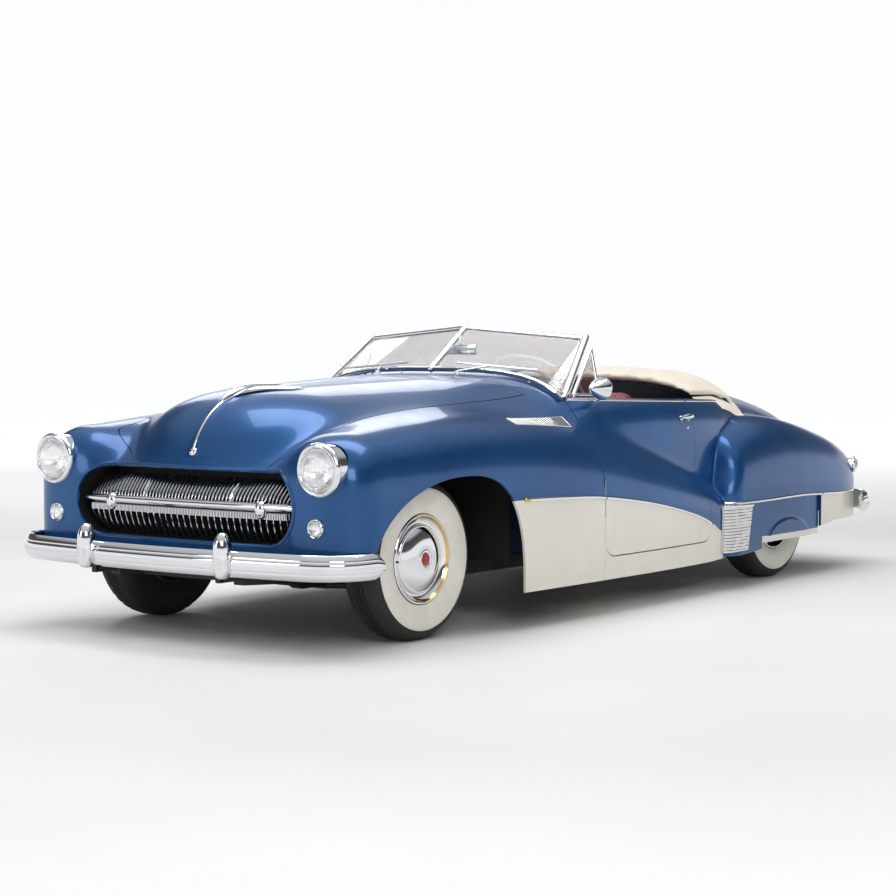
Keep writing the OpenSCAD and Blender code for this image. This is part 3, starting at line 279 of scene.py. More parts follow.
def add(name, verts, faces, mats, body, index=None, normals=None, flat=False):
    """Mesh piece in millimetres that rides on a body and wears a slot's material."""
    mesh = bpy.data.meshes.new(name)
    mesh.from_pydata((np.asarray(verts, float) / 1000).tolist(), [], [list(map(int, f)) for f in faces])
    for m in mats if isinstance(mats, (list, tuple)) else [mats]:
        mesh.materials.append(m)
    if index is not None:
        mesh.polygons.foreach_set("material_index", np.asarray(index, np.int32))
    mesh.polygons.foreach_set("use_smooth", np.full(len(mesh.polygons), not flat))
    mesh.update()
    if normals is not None:
        mesh.normals_split_custom_set_from_vertices(np.asarray(normals, float).tolist())
    elif not flat:
        mesh.set_sharp_from_angle(angle=math.radians(38))
    obj = bpy.data.objects.new(name, mesh)
    scene.collection.objects.link(obj)
    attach(obj, body)
    return obj


def clip(verts, faces, g, keep_both=False):
    """Cut faces along g = 0; keeps g > 0, or both sides with a flag for each face."""
    v = [tuple(q) for q in verts]
    gv = g(np.asarray(verts))
    gv = np.where(np.abs(gv) < 1e-6, 1e-6, gv)
    new, cuts, tones = [], {}, []

    def cut(a, b):
        key = (min(a, b), max(a, b))
        if key not in cuts:
            t = gv[a] / (gv[a] - gv[b])
            cuts[key] = len(v)
            v.append(tuple(np.asarray(v[a]) + (np.asarray(v[b]) - np.asarray(v[a])) * t))
        return cuts[key]

    for f in faces:
        up = [gv[i] > 0 for i in f]
        if all(up):
            new.append(f)
            tones.append(0)
            continue
        if not any(up):
            if keep_both:
                new.append(f)
                tones.append(1)
            continue
        for sign in (True, False) if keep_both else (True,):
            poly = []
            for k, a in enumerate(f):
                b = f[(k + 1) % len(f)]
                if (gv[a] > 0) == sign:
                    poly.append(a)
                if (gv[a] > 0) != (gv[b] > 0):
                    poly.append(cut(a, b))
            if len(poly) > 2:
                new.append(poly)
                tones.append(0 if sign else 1)
    return np.array(v), new, tones


def panel(name, grid, node, body, mats, holes=(), tone=None, emboss=None, back=14.0, lift=0.0,
          roll=1.0):
    """Body panel on the surface: grid of points, cut, embossed, with rolled edges and an inner skin."""
    m, n = grid.shape[:2]
    v = grid.reshape(-1, 3)
    i = np.arange(m * n).reshape(m, n)
    faces = np.stack([i[:-1, :-1], i[1:, :-1], i[1:, 1:], i[:-1, 1:]], -1).reshape(-1, 4)
    c = v[faces[len(faces) // 2 + n // 2]]
    if np.dot(np.cross(c[2] - c[0], c[3] - c[1]), normal(c.mean(0))) < 0:
        faces = faces[:, ::-1]
    faces = faces.tolist()
    for g in holes:
        v, faces, _ = clip(v, faces, g)
    tones = [0] * len(faces)
    if tone is not None:
        v, faces, tones = clip(v, faces, tone, True)
    used = np.unique(np.concatenate([np.asarray(f) for f in faces]))
    remap = np.full(len(v), -1)
    remap[used] = np.arange(len(used))
    v = seat(v[used])
    faces = [[int(remap[q]) for q in f] for f in faces]
    nrm = normal(v)
    if emboss is not None:
        g = gradient(emboss, v)
        v = v + nrm * emboss(v)[:, None]
        g = g - nrm * (g * nrm).sum(-1, keepdims=True)
        nrm = nrm - g
        nrm /= np.linalg.norm(nrm, axis=-1, keepdims=True)
    v = v + nrm * lift
    edges = {}
    for k, f in enumerate(faces):
        for q, a in enumerate(f):
            edges[(a, f[(q + 1) % len(f)])] = k
    rim = [(a, b, k) for (a, b), k in edges.items() if (b, a) not in edges]
    out = np.zeros_like(v)
    for a, b, _ in rim:
        t = np.cross(v[b] - v[a], nrm[a] + nrm[b])
        t = t / max(np.linalg.norm(t), 1e-9)
        out[a] += t
        out[b] += t
    ids = sorted({a for a, b, _ in rim} | {b for a, b, _ in rim})
    t = out[ids]
    t /= np.maximum(np.linalg.norm(t, axis=-1, keepdims=True), 1e-9)
    p, nn = v[ids], nrm[ids]
    rings = [p - nn * 0.7 * roll + t * 0.5 * roll, p - nn * 2.4 * roll + t * 0.9 * roll,
             p - nn * back + t * 0.9 * roll]
    rn = [(nn + t) / np.sqrt(2), t, t]
    base = len(v)
    where = {q: k for k, q in enumerate(ids)}
    all_v = [v] + rings + [v - nrm * back]
    all_n = [nrm] + rn + [-nrm]
    k = len(ids)
    index = list(tones)
    new = list(faces)
    for a, b, f in rim:
        ia, ib = where[a], where[b]
        ring = [(a, b), (base + ia, base + ib), (base + k + ia, base + k + ib),
                (base + 2 * k + ia, base + 2 * k + ib)]
        for r in range(3):
            new.append([ring[r][1], ring[r][0], ring[r + 1][0], ring[r + 1][1]])
            index.append(tones[f])
    inner = base + 3 * k
    for f in faces:
        new.append([inner + q for q in reversed(f)])
        index.append(2)
    for a, b, f in rim:
        ia, ib = where[a], where[b]
        new.append([base + 2 * k + ib, base + 2 * k + ia, inner + a, inner + b])
        index.append(2)
    obj = add(name, np.concatenate(all_v), new, mats, body, index, np.concatenate(all_n))
    if node:
        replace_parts(obj, *([node] if isinstance(node, str) else node))
    return obj


def across(s):
    """Factors that put points of the left side on side s."""
    return np.array([1.0, s, 1.0])


def outward(f, s):
    """Faces of a turned piece, facing out on side s."""
    return f if s < 0 else [q[::-1] for q in f]


def mirrored(p):
    """The same points on the car's other side."""
    return np.asarray(p, float) * across(-1.0)


def tube_faces(rings, n, base=0):
    """Faces round a row of rings of n points each, closed at both ends."""
    faces = [[base + i * n + j, base + i * n + (j + 1) % n, base + (i + 1) * n + (j + 1) % n,
              base + (i + 1) * n + j] for i in range(rings - 1) for j in range(n)]
    last = base + (rings - 1) * n
    return faces + [[base + j for j in range(n)][::-1], [last + j for j in range(n)]]


def strip(name, path, nrm, half, high, mat, body, base=-1.5, seg=8):
    """Half-round moulding along a path on a surface; half widths and heights may change along it."""
    p = np.asarray(path, float)
    nrm = np.asarray(nrm, float)
    k = len(p)
    t = np.gradient(p, axis=0)
    t /= np.linalg.norm(t, axis=1, keepdims=True)
    s = np.cross(t, nrm)
    s /= np.linalg.norm(s, axis=1, keepdims=True)
    half = np.broadcast_to(np.asarray(half, float), (k,))
    high = np.broadcast_to(np.asarray(high, float), (k,))
    a = np.linspace(0, np.pi, seg + 1)
    ring = []
    for q in a:
        ring.append(p + s * (half * np.cos(q))[:, None] + nrm * (high * np.sin(q) ** 0.8)[:, None])
    ring = [ring[0] + nrm * base] + ring + [ring[-1] + nrm * base]
    n = len(ring)
    v = np.stack(ring, 1).reshape(-1, 3)
    return add(name, v, tube_faces(k, n), mat, body)


def lathe(profile, seg, at, axis="Y", sign=1.0, zones=None):
    """Turned form: (radius, along) points about an axis through a point; zones gives each step's material."""
    pr = np.asarray(profile, float)
    a = np.arange(seg) * 2 * np.pi / seg
    n = len(pr)
    r, y = pr[:, 0][None, :], pr[:, 1][None, :] * sign
    c, s = np.cos(a)[:, None] * r, np.sin(a)[:, None] * r
    y = np.broadcast_to(y, c.shape)
    if axis == "Y":
        v = np.stack([c, y, s], -1)
    elif axis == "X":
        v = np.stack([y, c, s], -1)
    else:
        v = np.stack([c, s, y], -1)
    v = v.reshape(-1, 3) + np.asarray(at, float)
    faces, index = [], []
    for i in range(seg):
        i2 = (i + 1) % seg
        for j in range(n - 1):
            f = [i * n + j, i * n + j + 1, i2 * n + j + 1, i2 * n + j]
            if pr[j, 0] < 1e-6:
                f = [j, i * n + j + 1, i2 * n + j + 1]
            elif pr[j + 1, 0] < 1e-6:
                f = [i * n + j, j + 1, i2 * n + j]
            faces.append(f)
            index.append(zones[j] if zones is not None else 0)
    return v, faces, index


# materials

class Mat:
    """Node helper around one Principled material."""

    def __init__(self, name, color, rough, metal=0.0, **sockets):
        self.m = bpy.data.materials.new(name)
        self.m.use_nodes = True
        self.t = self.m.node_tree
        self.b = self.t.nodes["Principled BSDF"]
        self.b.inputs["Base Color"].default_value = (*color, 1)
        self.b.inputs["Roughness"].default_value = rough
        self.b.inputs["Metallic"].default_value = metal
        for k, v in sockets.items():
            s = self.b.inputs[k.replace("_", " ")]
            s.default_value = (*v, 1) if isinstance(v, tuple) else v
        self.m.diffuse_color = (*color, 1)
        self.at = self.t.nodes.new("ShaderNodeTexCoord").outputs["Object"]
        self.height = None

    def node(self, kind, **inputs):
        n = self.t.nodes.new(kind)
        for k, v in inputs.items():
            self.put(n.inputs[k.replace("_", " ")], v)
        return n

    def put(self, socket, v):
        if isinstance(v, bpy.types.NodeSocket):
            self.t.links.new(v, socket)
        else:
            socket.default_value = v

    def noise(self, scale, detail=3.0, rough=0.5, at=None, dist=0.0):
        return self.node("ShaderNodeTexNoise", Vector=at or self.at, Scale=scale, Detail=detail,
                         Roughness=rough, Distortion=dist).outputs["Fac"]

    def cells(self, scale, feature="F1", at=None, out="Distance"):
        n = self.node("ShaderNodeTexVoronoi", Vector=at or self.at, Scale=scale)
        n.feature = feature
        return n.outputs[out]

    def wave(self, scale, axis="X", at=None, dist=0.0):
        n = self.node("ShaderNodeTexWave", Vector=at or self.at, Scale=scale, Distortion=dist)
        n.bands_direction = axis
        return n.outputs["Fac"]

    def ramp(self, fac, stops):
        n = self.node("ShaderNodeValToRGB", Fac=fac)
        e = n.color_ramp.elements
        for i, (pos, col) in enumerate(stops):
            if i > 1:
                e.new(pos)
            e[i].position = pos
            e[i].color = (*col, 1) if len(col) == 3 else col
        return n.outputs["Color"]

    def map(self, fac, lo, hi, a=0.0, b=1.0):
        n = self.node("ShaderNodeMapRange", Value=fac)
        n.inputs["From Min"].default_value, n.inputs["From Max"].default_value = a, b
        n.inputs["To Min"].default_value, n.inputs["To Max"].default_value = lo, hi
        return n.outputs["Result"]

    def math(self, op, a, b=0.0, c=None):
        n = self.t.nodes.new("ShaderNodeMath")
        n.operation = op
        self.put(n.inputs[0], a)
        self.put(n.inputs[1], b)
        if c is not None:
            self.put(n.inputs[2], c)
        return n.outputs[0]

    def axis(self, which):
        n = self.node("ShaderNodeSeparateXYZ", Vector=self.at)
        return n.outputs[which]

    def stretch(self, scale):
        return self.node("ShaderNodeMapping", Vector=self.at, Scale=scale).outputs["Vector"]

    def mix(self, fac, a, b, blend="MIX"):
        n = self.t.nodes.new("ShaderNodeMix")
        n.data_type = "RGBA"
        n.blend_type = blend
        self.put(n.inputs[0], fac)
        for k, v in ((6, a), (7, b)):
            self.put(n.inputs[k], (*v, 1) if isinstance(v, tuple) and len(v) == 3 else v)
        return n.outputs[2]

    def color(self, s):
        self.put(self.b.inputs["Base Color"], s)
        return self

    def rough(self, s):
        self.put(self.b.inputs["Roughness"], s)
        return self

    def bump(self, fac, strength, depth=0.001, coat=False):
        n = self.node("ShaderNodeBump", Height=fac, Strength=strength, Distance=depth)
        if self.height is not None:
            self.t.links.new(self.height, n.inputs["Normal"])
        self.height = n.outputs["Normal"]
        self.t.links.new(self.height, self.b.inputs["Normal"])
        if coat:
            self.t.links.new(self.height, self.b.inputs["Coat Normal"])
        return self


def paint(name, light, dark, metal, rough, flake):
    """Body paint with flake, dust low down and a clear coat."""
    q = Mat(name, light, rough, metal, Coat_Weight=0.42, Coat_Roughness=0.03, Coat_IOR=1.5)
    cloud = q.noise(1.6, 4.0)
    base = q.ramp(cloud, [(0.3, dark), (0.72, light)])
    if flake:
        spark = q.cells(1500.0, out="Color")
        base = q.mix(q.map(spark, 0.0, 0.14), base, tuple(min(1, c * 1.9 + 0.006) for c in light))
    dust = q.map(q.axis("Z"), 0.22, 0.0, 0.16, 0.42)
    grime = q.math("MULTIPLY", dust, q.noise(7.0, 6.0, 0.65))
    q.color(q.mix(grime, base, (0.23, 0.22, 0.20)))
    q.rough(q.map(q.noise(9.0, 5.0), rough - 0.06, rough + 0.08))
    q.bump(q.noise(260.0, 2.0), 0.02, 0.0004)
    return q.m


def metal(name, color, rough, spread=0.05, scale=22.0, brushed=None):
    """Bright or dull metal with smears, or brushed."""
    q = Mat(name, color, rough, 1.0)
    smear = q.noise(scale, 6.0, 0.62)
    q.rough(q.map(smear, max(0.02, rough - spread), rough + spread, 0.25, 0.8))
    q.color(q.mix(q.map(q.noise(3.5, 4.0), 0.0, 0.35), color, tuple(c * 0.86 for c in color)))
    if brushed:
        q.bump(q.noise(180.0, 2.0, at=q.stretch(brushed)), 0.12, 0.0004)
    else:
        q.bump(q.noise(70.0, 3.0), 0.012, 0.0006)
    return q.m


def leather(name, color, dark):
    """Grained leather with soft folds."""
    q = Mat(name, color, 0.42, 0.0, Specular_IOR_Level=0.45, Coat_Weight=0.12, Coat_Roughness=0.3)
    grain = q.cells(420.0, "DISTANCE_TO_EDGE")
    fold = q.noise(14.0, 5.0, 0.6)
    q.color(q.ramp(q.math("ADD", q.math("MULTIPLY", fold, 0.8), q.map(grain, 0.0, 0.2, 0.0, 0.12)),
                   [(0.3, dark), (0.75, color)]))
    q.rough(q.map(fold, 0.34, 0.52))
    q.bump(q.map(grain, 0.0, 1.0, 0.0, 0.16), 0.28, 0.0006)
    q.bump(fold, 0.12, 0.004)
    return q.m


def cloth(name, color, dark, scale=900.0, fuzz=0.35):
    """Woven cloth with stains."""
    q = Mat(name, color, 0.82, 0.0, Sheen_Weight=fuzz, Sheen_Roughness=0.5, Specular_IOR_Level=0.25)
    warp, weft = q.wave(scale / 6.28, "X"), q.wave(scale / 6.28, "Y")
    web = q.math("MULTIPLY", warp, weft)
    stain = q.noise(4.0, 5.0, 0.6)
    q.color(q.mix(q.map(web, 0.0, 0.3), q.ramp(stain, [(0.28, dark), (0.7, color)]),
                  tuple(c * 0.72 for c in color)))
    q.rough(q.map(stain, 0.74, 0.9))
    q.bump(web, 0.22, 0.0006)
    q.bump(q.noise(24.0, 4.0), 0.15, 0.003)
    return q.m


def satin(name, color, dark, rough, scale=6.0, wear=None, metallic=0.0, bump=0.1):
    """Spotted plain surface, worn where a wear colour is given."""
    q = Mat(name, color, rough, metallic)
    spot = q.noise(scale, 7.0, 0.66)
    base = q.ramp(spot, [(0.32, dark), (0.68, color)])
    if wear:
        base = q.mix(q.map(q.noise(scale * 5, 6.0, 0.7), 0.0, 1.0, 0.58, 0.72), base, wear)
    q.color(base)
    q.rough(q.map(spot, rough - 0.1, min(1.0, rough + 0.12)))
    q.bump(q.noise(scale * 30, 4.0), bump, 0.001)
    return q.m


def clear(name, color, ior, alpha, rough=0.0, ribs=None):
    """Glass, ribbed where ribs are given."""
    q = Mat(name, color, rough, 0.0, Transmission_Weight=1.0, IOR=ior, Alpha=alpha)
    q.rough(q.map(q.noise(5.0, 6.0, 0.6), rough, rough + 0.03, 0.3, 0.9))
    if ribs:
        q.bump(q.wave(ribs[0], ribs[1]), 0.5, 0.002)
    else:
        q.bump(q.noise(3.0, 2.0), 0.01, 0.001)
    return q.m


BLUE = paint("paint_blue", (0.005, 0.083, 0.265), (0.003, 0.050, 0.172), 0.55, 0.30, True)
CREAM = paint("paint_cream", (0.80, 0.765, 0.70), (0.745, 0.705, 0.635), 0.0, 0.34, False)
INNER = satin("paint_inside", (0.020, 0.055, 0.14), (0.012, 0.035, 0.09), 0.5, 5.0, (0.05, 0.05, 0.05))
CHROME = metal("chrome", (0.80, 0.81, 0.83), 0.075, 0.035)
RIBBED = metal("brushed_steel", (0.74, 0.74, 0.73), 0.24, 0.06, 30.0, (1, 1, 26))
GOLD = metal("gold_plate", (0.72, 0.47, 0.16), 0.20, 0.06)
STEEL = metal("dull_steel", (0.34, 0.34, 0.35), 0.42, 0.10)
BLACK = satin("chassis_black", (0.020, 0.020, 0.021), (0.009, 0.009, 0.010), 0.62, 5.0, (0.10, 0.085, 0.07))
# near-black material that paints the shade in recesses, behind openings and in the wheel wells
SHADE_BLACK = satin("shadow_black", (0.006, 0.006, 0.007), (0.003, 0.003, 0.003), 0.8, 8.0)
RUBBER = satin("tyre_rubber", (0.022, 0.022, 0.023), (0.012, 0.012, 0.012), 0.72, 14.0, (0.06, 0.055, 0.05),
               bump=0.2)
WHITEWALL = satin("tyre_white", (0.80, 0.78, 0.73), (0.70, 0.67, 0.60), 0.55, 9.0, (0.66, 0.60, 0.50),
                  bump=0.06)
SEAL = satin("rubber_seal", (0.014, 0.014, 0.014), (0.008, 0.008, 0.008), 0.6, 30.0)
LEATHER = leather("leather_red", (0.25, 0.020, 0.030), (0.15, 0.011, 0.018))
CARPET = cloth("carpet_red", (0.085, 0.014, 0.018), (0.05, 0.008, 0.011), 600.0, 0.6)
CANVAS = cloth("canvas_cream", (0.76, 0.705, 0.60), (0.68, 0.62, 0.51), 1500.0, 0.3)
IVORY = satin("ivory_plastic", (0.74, 0.66, 0.50), (0.68, 0.59, 0.43), 0.28, 3.0, bump=0.03)
IRON = satin("engine_paint", (0.10, 0.13, 0.12), (0.055, 0.07, 0.065), 0.45, 8.0, (0.10, 0.07, 0.04))
RUST = satin("exhaust_steel", (0.24, 0.20, 0.17), (0.13, 0.10, 0.085), 0.55, 7.0, (0.22, 0.11, 0.05), 0.6)
GLASS = clear("window_glass", (0.93, 0.97, 0.96), 1.45, 0.42)
LENS = clear("lamp_glass", (0.95, 0.96, 0.97), 1.48, 0.85, 0.02, (70.0, "Y"))
RED_LENS = clear("red_glass", (0.55, 0.012, 0.014), 1.48, 1.0, 0.06, (60.0, "Z"))
ENAMEL = satin("red_enamel", (0.42, 0.012, 0.018), (0.30, 0.008, 0.012), 0.16, 20.0, bump=0.02)
PLATE = satin("blank_plate", (0.72, 0.70, 0.64), (0.64, 0.61, 0.54), 0.4, 12.0, (0.45, 0.40, 0.33),
              bump=0.05)
MIRROR = metal("mirror_silver", (0.92, 0.93, 0.94), 0.03, 0.01)


def dress(material, *names):
    """Give solids that stay in view their material."""
    for name in names:
        mesh = NODES[name].data
        mesh.materials.clear()
        mesh.materials.append(material)


# painted body

SPEAR = np.array([[1235, 603], [900, 594], [567, 577], [106, 520], [-287, 445], [-492, 388], [-640, 330]],
                 float)
CREAM_FRONT_X, CREAM_REAR_X = 1330.0, -690.0
TAIL_LINE = np.array([[-640, 466], [-1100, 466], [-1500, 470], [-1800, 462], [-2100, 452], [-2480, 446]],
                     float)


def line_z(table, x):
    """Height of a side line at x, level beyond its ends."""
    c = curve(table, 200)[::-1]
    return np.interp(x, c[:, 0], c[:, 1])


def two_tone(p):
    """Above nought where the side is blue, below where it is cream."""
    x, z = p[:, 0], p[:, 2]
    front = np.maximum(z - line_z(SPEAR, x), x - CREAM_FRONT_X)
    front = np.maximum(front, CREAM_REAR_X - x)
    rear = np.maximum(z - line_z(TAIL_LINE, x), x - (SKIRT_REAR_X - 3))
    return np.minimum(front, rear)


def round_hole(x, y, z, r):
    """Round opening at both sides of the front, beyond x."""
    return lambda p: np.where(p[:, 0] > x, np.hypot(np.abs(p[:, 1]) - y, p[:, 2] - z) - r, 1.0)


def grille_cut(p):
    """Below nought in the grille's oval opening."""
    r = GRILLE_H / 2
    h = GRILLE_HALF - r
    e = np.maximum(np.abs(p[:, 1]) - h, 0)
    return np.where(p[:, 0] > NOSE_X, np.hypot(e, p[:, 2] - GRILLE_Z) - r, 1.0)


def ridge(d, w, h):
    """Soft raised line of half width w about d = 0."""
    return h * np.exp(-(d / w) ** 2)


SKIN = [BLUE, CREAM, INNER]

# hood
rows = np.concatenate([np.linspace(HOOD_REAR_X + GAP / 2, NOSE_X, 46), np.full(38, NOSE_X)])
lean = np.concatenate([np.zeros(46), np.linspace(0, LIP_A - 0.13, 39)[1:]])
half = np.where(lean > 0, hood_fan(lean), hood_half(rows)) - GAP / 2
u = np.linspace(-1, 1, 81)
panel("hood_skin", roof(rows[:, None], half[:, None] * u, lean[:, None]), "hood", "hood", SKIN,
      emboss=lambda p: 5.0 * np.exp(-(p[:, 1] / 26) ** 2) * smooth((p[:, 0] - 900) / 400))

# nose between the hood's lip and the bumper
v = eased(46, 0.3)
arc = np.linspace(0, LIP_HALF, 36)
low_tops = roof(np.full(36, NOSE_X), arc, LIP_A + 0.13)
fan = np.linspace(LIP_A, SPLIT_A, 22)[1:]
left = np.vstack([low_tops, roof(np.full(21, NOSE_X), hood_fan(fan) + GAP / 2, fan)])
tops = np.vstack([mirrored(left[:0:-1]), left])
panel("nose_skin", columns(tops, np.full(len(tops), NOSE_Z), v), "nose", "body", SKIN,
      holes=[grille_cut])

# front fenders, from the nose seam round to the doors
fan = np.linspace(SPLIT_A, 0, 36)[:-1]
t = np.linspace(0, 1, 40)
back_x = ARCH_X - ARCH_BACK * np.sin(t * np.pi / 2)
xs = np.concatenate([np.linspace(NOSE_X, ARCH_X, 24)[:-1], back_x[:-1],
                     np.linspace(ARCH_X - ARCH_BACK, DOOR_FRONT_X + GAP / 2, 30)])
tops = np.vstack([
    roof(np.full(len(fan), NOSE_X), hood_fan(fan) + GAP / 2, fan),
    roof(xs, hood_half(xs) + np.where(xs > HOOD_REAR_X, GAP / 2, SEAM / 2))])
ox = np.where(tops[:, 0] > NOSE_X, NOSE_X + 960 * np.cos(np.arctan2(tops[:, 1], tops[:, 0] - NOSE_X)),
              tops[:, 0])
lows = arch(ox)
tops[0] += SEAM * (tops[1] - tops[0]) / np.linalg.norm(tops[1] - tops[0])
grid = columns(tops, lows, eased(52, 0.25))
holes = [round_hole(NOSE_X, HEAD_Y, HEAD_Z, HEAD_R - 7.5),
         round_hole(NOSE_X, PARK_Y, PARK_Z, PARK_R)]
for s, tag in SIDES:
    panel("front_fender_skin_" + tag, grid * across(s), "front_fender_" + tag, "body", SKIN,
          holes, two_tone, roll=1.6)

# cowl top
rows = np.linspace(COWL_X, HOOD_REAR_X - GAP / 2, 22)
panel("cowl_skin", roof(rows[:, None], u * (HOOD_REAR_HALF - SEAM / 2)), None, "body", SKIN,
      back=13.5)

# rear deck and trunk lid
rows = np.linspace(TRUNK_X + GAP / 2, DECK_X, 36)
half = np.array([deck_half(x) for x in rows]) - SEAM / 2
panel("rear_deck_skin", roof(rows[:, None], half[:, None] * u), "rear_deck", "body", SKIN)
rows = np.concatenate([np.linspace(TRUNK_X - GAP / 2, TAIL_X, 24), np.full(42, TAIL_X)])
lean = np.concatenate([np.zeros(24), np.linspace(0, TAIL_A - 0.22, 43)[1:]])
half = np.where(lean > 0, trunk_fan(lean), TRUNK_HALF) - GAP / 2
panel("trunk_lid_skin", roof(rows[:, None], half[:, None] * u, -lean[:, None]), "trunk_lid", "trunk_lid",
      SKIN, emboss=lambda p: 5.0 * np.exp(-(p[:, 1] / 30) ** 2))

# tail panel and rear quarters
arc = np.linspace(0, TRUNK_LIP_HALF, 30)
step_a = TAIL_A * 3 / 8
fan = np.linspace(TAIL_A, TAIL_A - step_a, 24)[1:]
left = np.vstack([roof(np.full(30, TAIL_X), arc, -TAIL_A - 0.22),
                  roof(np.full(23, TAIL_X), trunk_fan(fan) + GAP / 2, -fan)])
tops = np.vstack([mirrored(left[:0:-1]), left])
panel("tail_skin", columns(tops, np.full(len(tops), TAIL_Z), eased(34, 0.3)), "tail_panel", "body", SKIN,
      tone=two_tone)
xs = np.concatenate([np.linspace(DOOR_REAR_X - 0.3, -690, 16)[:-1], np.linspace(-690, -900, 44)[:-1],
                     np.linspace(-900, SKIRT_FRONT_X + 0.2, 16),
                     np.linspace(SKIRT_FRONT_X - 0.2, SKIRT_REAR_X + 0.2, 46),
                     np.linspace(SKIRT_REAR_X - 0.2, TAIL_X, 14)])
tops = [side(x, belt(x)) if x > DECK_X else
        roof(x, deck_half(x) + SEAM / 2 if x > TRUNK_X else TRUNK_HALF + GAP / 2) for x in xs]
sweep = lerp(177.0, TAIL_Z, smooth((DOOR_REAR_X - xs) / 1700))
lows = np.where((xs > SKIRT_FRONT_X) | (xs < SKIRT_REAR_X), sweep, 455.0)
fan = np.linspace(0, TAIL_A - step_a, 40)[1:]
fan_tops = roof(np.full(39, TAIL_X), trunk_fan(fan) + GAP / 2, -fan)
fan_tops[-1] += SEAM * (fan_tops[-2] - fan_tops[-1]) / np.linalg.norm(fan_tops[-2] - fan_tops[-1])
tops = np.vstack([np.array(tops), fan_tops])
lows = np.concatenate([lows, np.full(39, TAIL_Z)])
grid = columns(tops, lows, eased(54, 0.25))
LAMP_AT = side(RX - 860, 600.0)
LAMP_DIR = np.array([math.cos(math.radians(118)), math.sin(math.radians(118)), 0.0])


def tail_lamp_cut(p):
    """Below nought in the round openings for the tail lamps."""
    q = p.copy()
    q[:, 1] = np.abs(q[:, 1])
    q = q - LAMP_AT
    return np.linalg.norm(q - (q @ LAMP_DIR)[:, None] * LAMP_DIR, axis=1) - 37.0


for s, tag in SIDES:
    panel("rear_quarter_skin_" + tag, grid * across(s), "rear_quarter_" + tag, "body", SKIN,
          [tail_lamp_cut], two_tone)

# wheel skirts, set in from the quarters, with a raised arc
xs = np.linspace(SKIRT_FRONT_X - 4, SKIRT_REAR_X + 4, 90)
zs = np.linspace(235, 484, 40)


def skirt_arc(p):
    """Raised field of a wheel skirt, round the wheel."""
    d = np.hypot(p[:, 0] - (RX + 110), (p[:, 2] - 232) * 2.1) - 268
    return 9.0 * smooth(-d / 34) + ridge(d + 6, 7, 1.5)


def skirt_tone(p):
    """Cream along the lower edge of a wheel skirt."""
    return p[:, 2] - 268


for s, tag in SIDES:
    grid = side(xs[:, None], zs[None, :]) * across(s)
    panel("fender_skirt_" + tag, grid, "fender_skirts", "body", SKIN, tone=skirt_tone,
          emboss=skirt_arc, lift=-15.5, back=12.0)

# sills under the doors
xs = np.concatenate([np.linspace(DOOR_FRONT_X - 0.4, DOOR_FRONT_X - 110, 30),
                     np.linspace(DOOR_FRONT_X - 110, DOOR_REAR_X + 110, 60)[1:-1],
                     np.linspace(DOOR_REAR_X + 110, DOOR_REAR_X + 0.4, 30)])
top = door_low(xs) - GAP / 2
for s, tag in SIDES:
    zs = SILL_Z + (top - SILL_Z)[:, None] * np.linspace(0, 1, 14)[None, :]
    panel("sill_skin_" + tag, side(np.broadcast_to(xs[:, None], zs.shape), zs) * across(s), None, "body",
          [CREAM, CREAM, INNER], back=20.0)


# doors: outer skin with a pressed outline on the cream part
def door_press(p):
    """Pressed outline on a door's cream part."""
    x, z = p[:, 0], p[:, 2]
    cx, cz, hx, hz, r = 25.0, 425.0, 440.0, 150.0, 100.0
    dx, dz = np.abs(x - cx) - hx + r, np.abs(z - cz) - hz + r
    d = np.hypot(np.maximum(dx, 0), np.maximum(dz, 0)) + np.minimum(np.maximum(dx, dz), 0) - r
    inside = smooth((line_z(SPEAR, x) - 10 - z) / 14)
    return -3.2 * np.exp(-(d / 4.5) ** 2) * inside


x0, x1 = DOOR_FRONT_X - GAP / 2, DOOR_REAR_X + GAP / 2
xs = x0 + (x1 - x0) * eased(108, 0.2)
low = door_low(xs) + GAP / 2
zs = low[:, None] + (belt(xs) - low)[:, None] * eased(70, 0.15)[None, :]
door_grid = side(np.broadcast_to(xs[:, None], zs.shape), zs)
for s, tag in SIDES:
    panel("door_skin_" + tag, door_grid * across(s), None, "door_" + tag, SKIN,
          tone=two_tone, emboss=door_press, back=16.0)


# thick door bodies behind the skins, and the firewall and sill cores
def shell(name, outer, inner, mat, body):
    """Closed solid between two grids of points."""
    m, n = outer.shape[:2]
    v = np.concatenate([outer.reshape(-1, 3), inner.reshape(-1, 3)])
    o = np.arange(m * n).reshape(m, n)
    q = o + m * n
    faces = []
    for i in range(m - 1):
        for j in range(n - 1):
            faces.append([o[i, j], o[i + 1, j], o[i + 1, j + 1], o[i, j + 1]])
            faces.append([q[i, j + 1], q[i + 1, j + 1], q[i + 1, j], q[i, j]])
    for i in range(m - 1):
        faces.append([o[i + 1, 0], o[i, 0], q[i, 0], q[i + 1, 0]])
        faces.append([o[i, -1], o[i + 1, -1], q[i + 1, -1], q[i, -1]])
    for j in range(n - 1):
        faces.append([o[0, j], o[0, j + 1], q[0, j + 1], q[0, j]])
        faces.append([o[-1, j + 1], o[-1, j], q[-1, j], q[-1, j + 1]])
    c = v[faces[0]]
    away = outer.mean((0, 1)) - inner.mean((0, 1))
    if np.dot(np.cross(c[2] - c[0], c[3] - c[1]), away) < 0:
        faces = [f[::-1] for f in faces]
    return add(name, v, faces, mat, body)


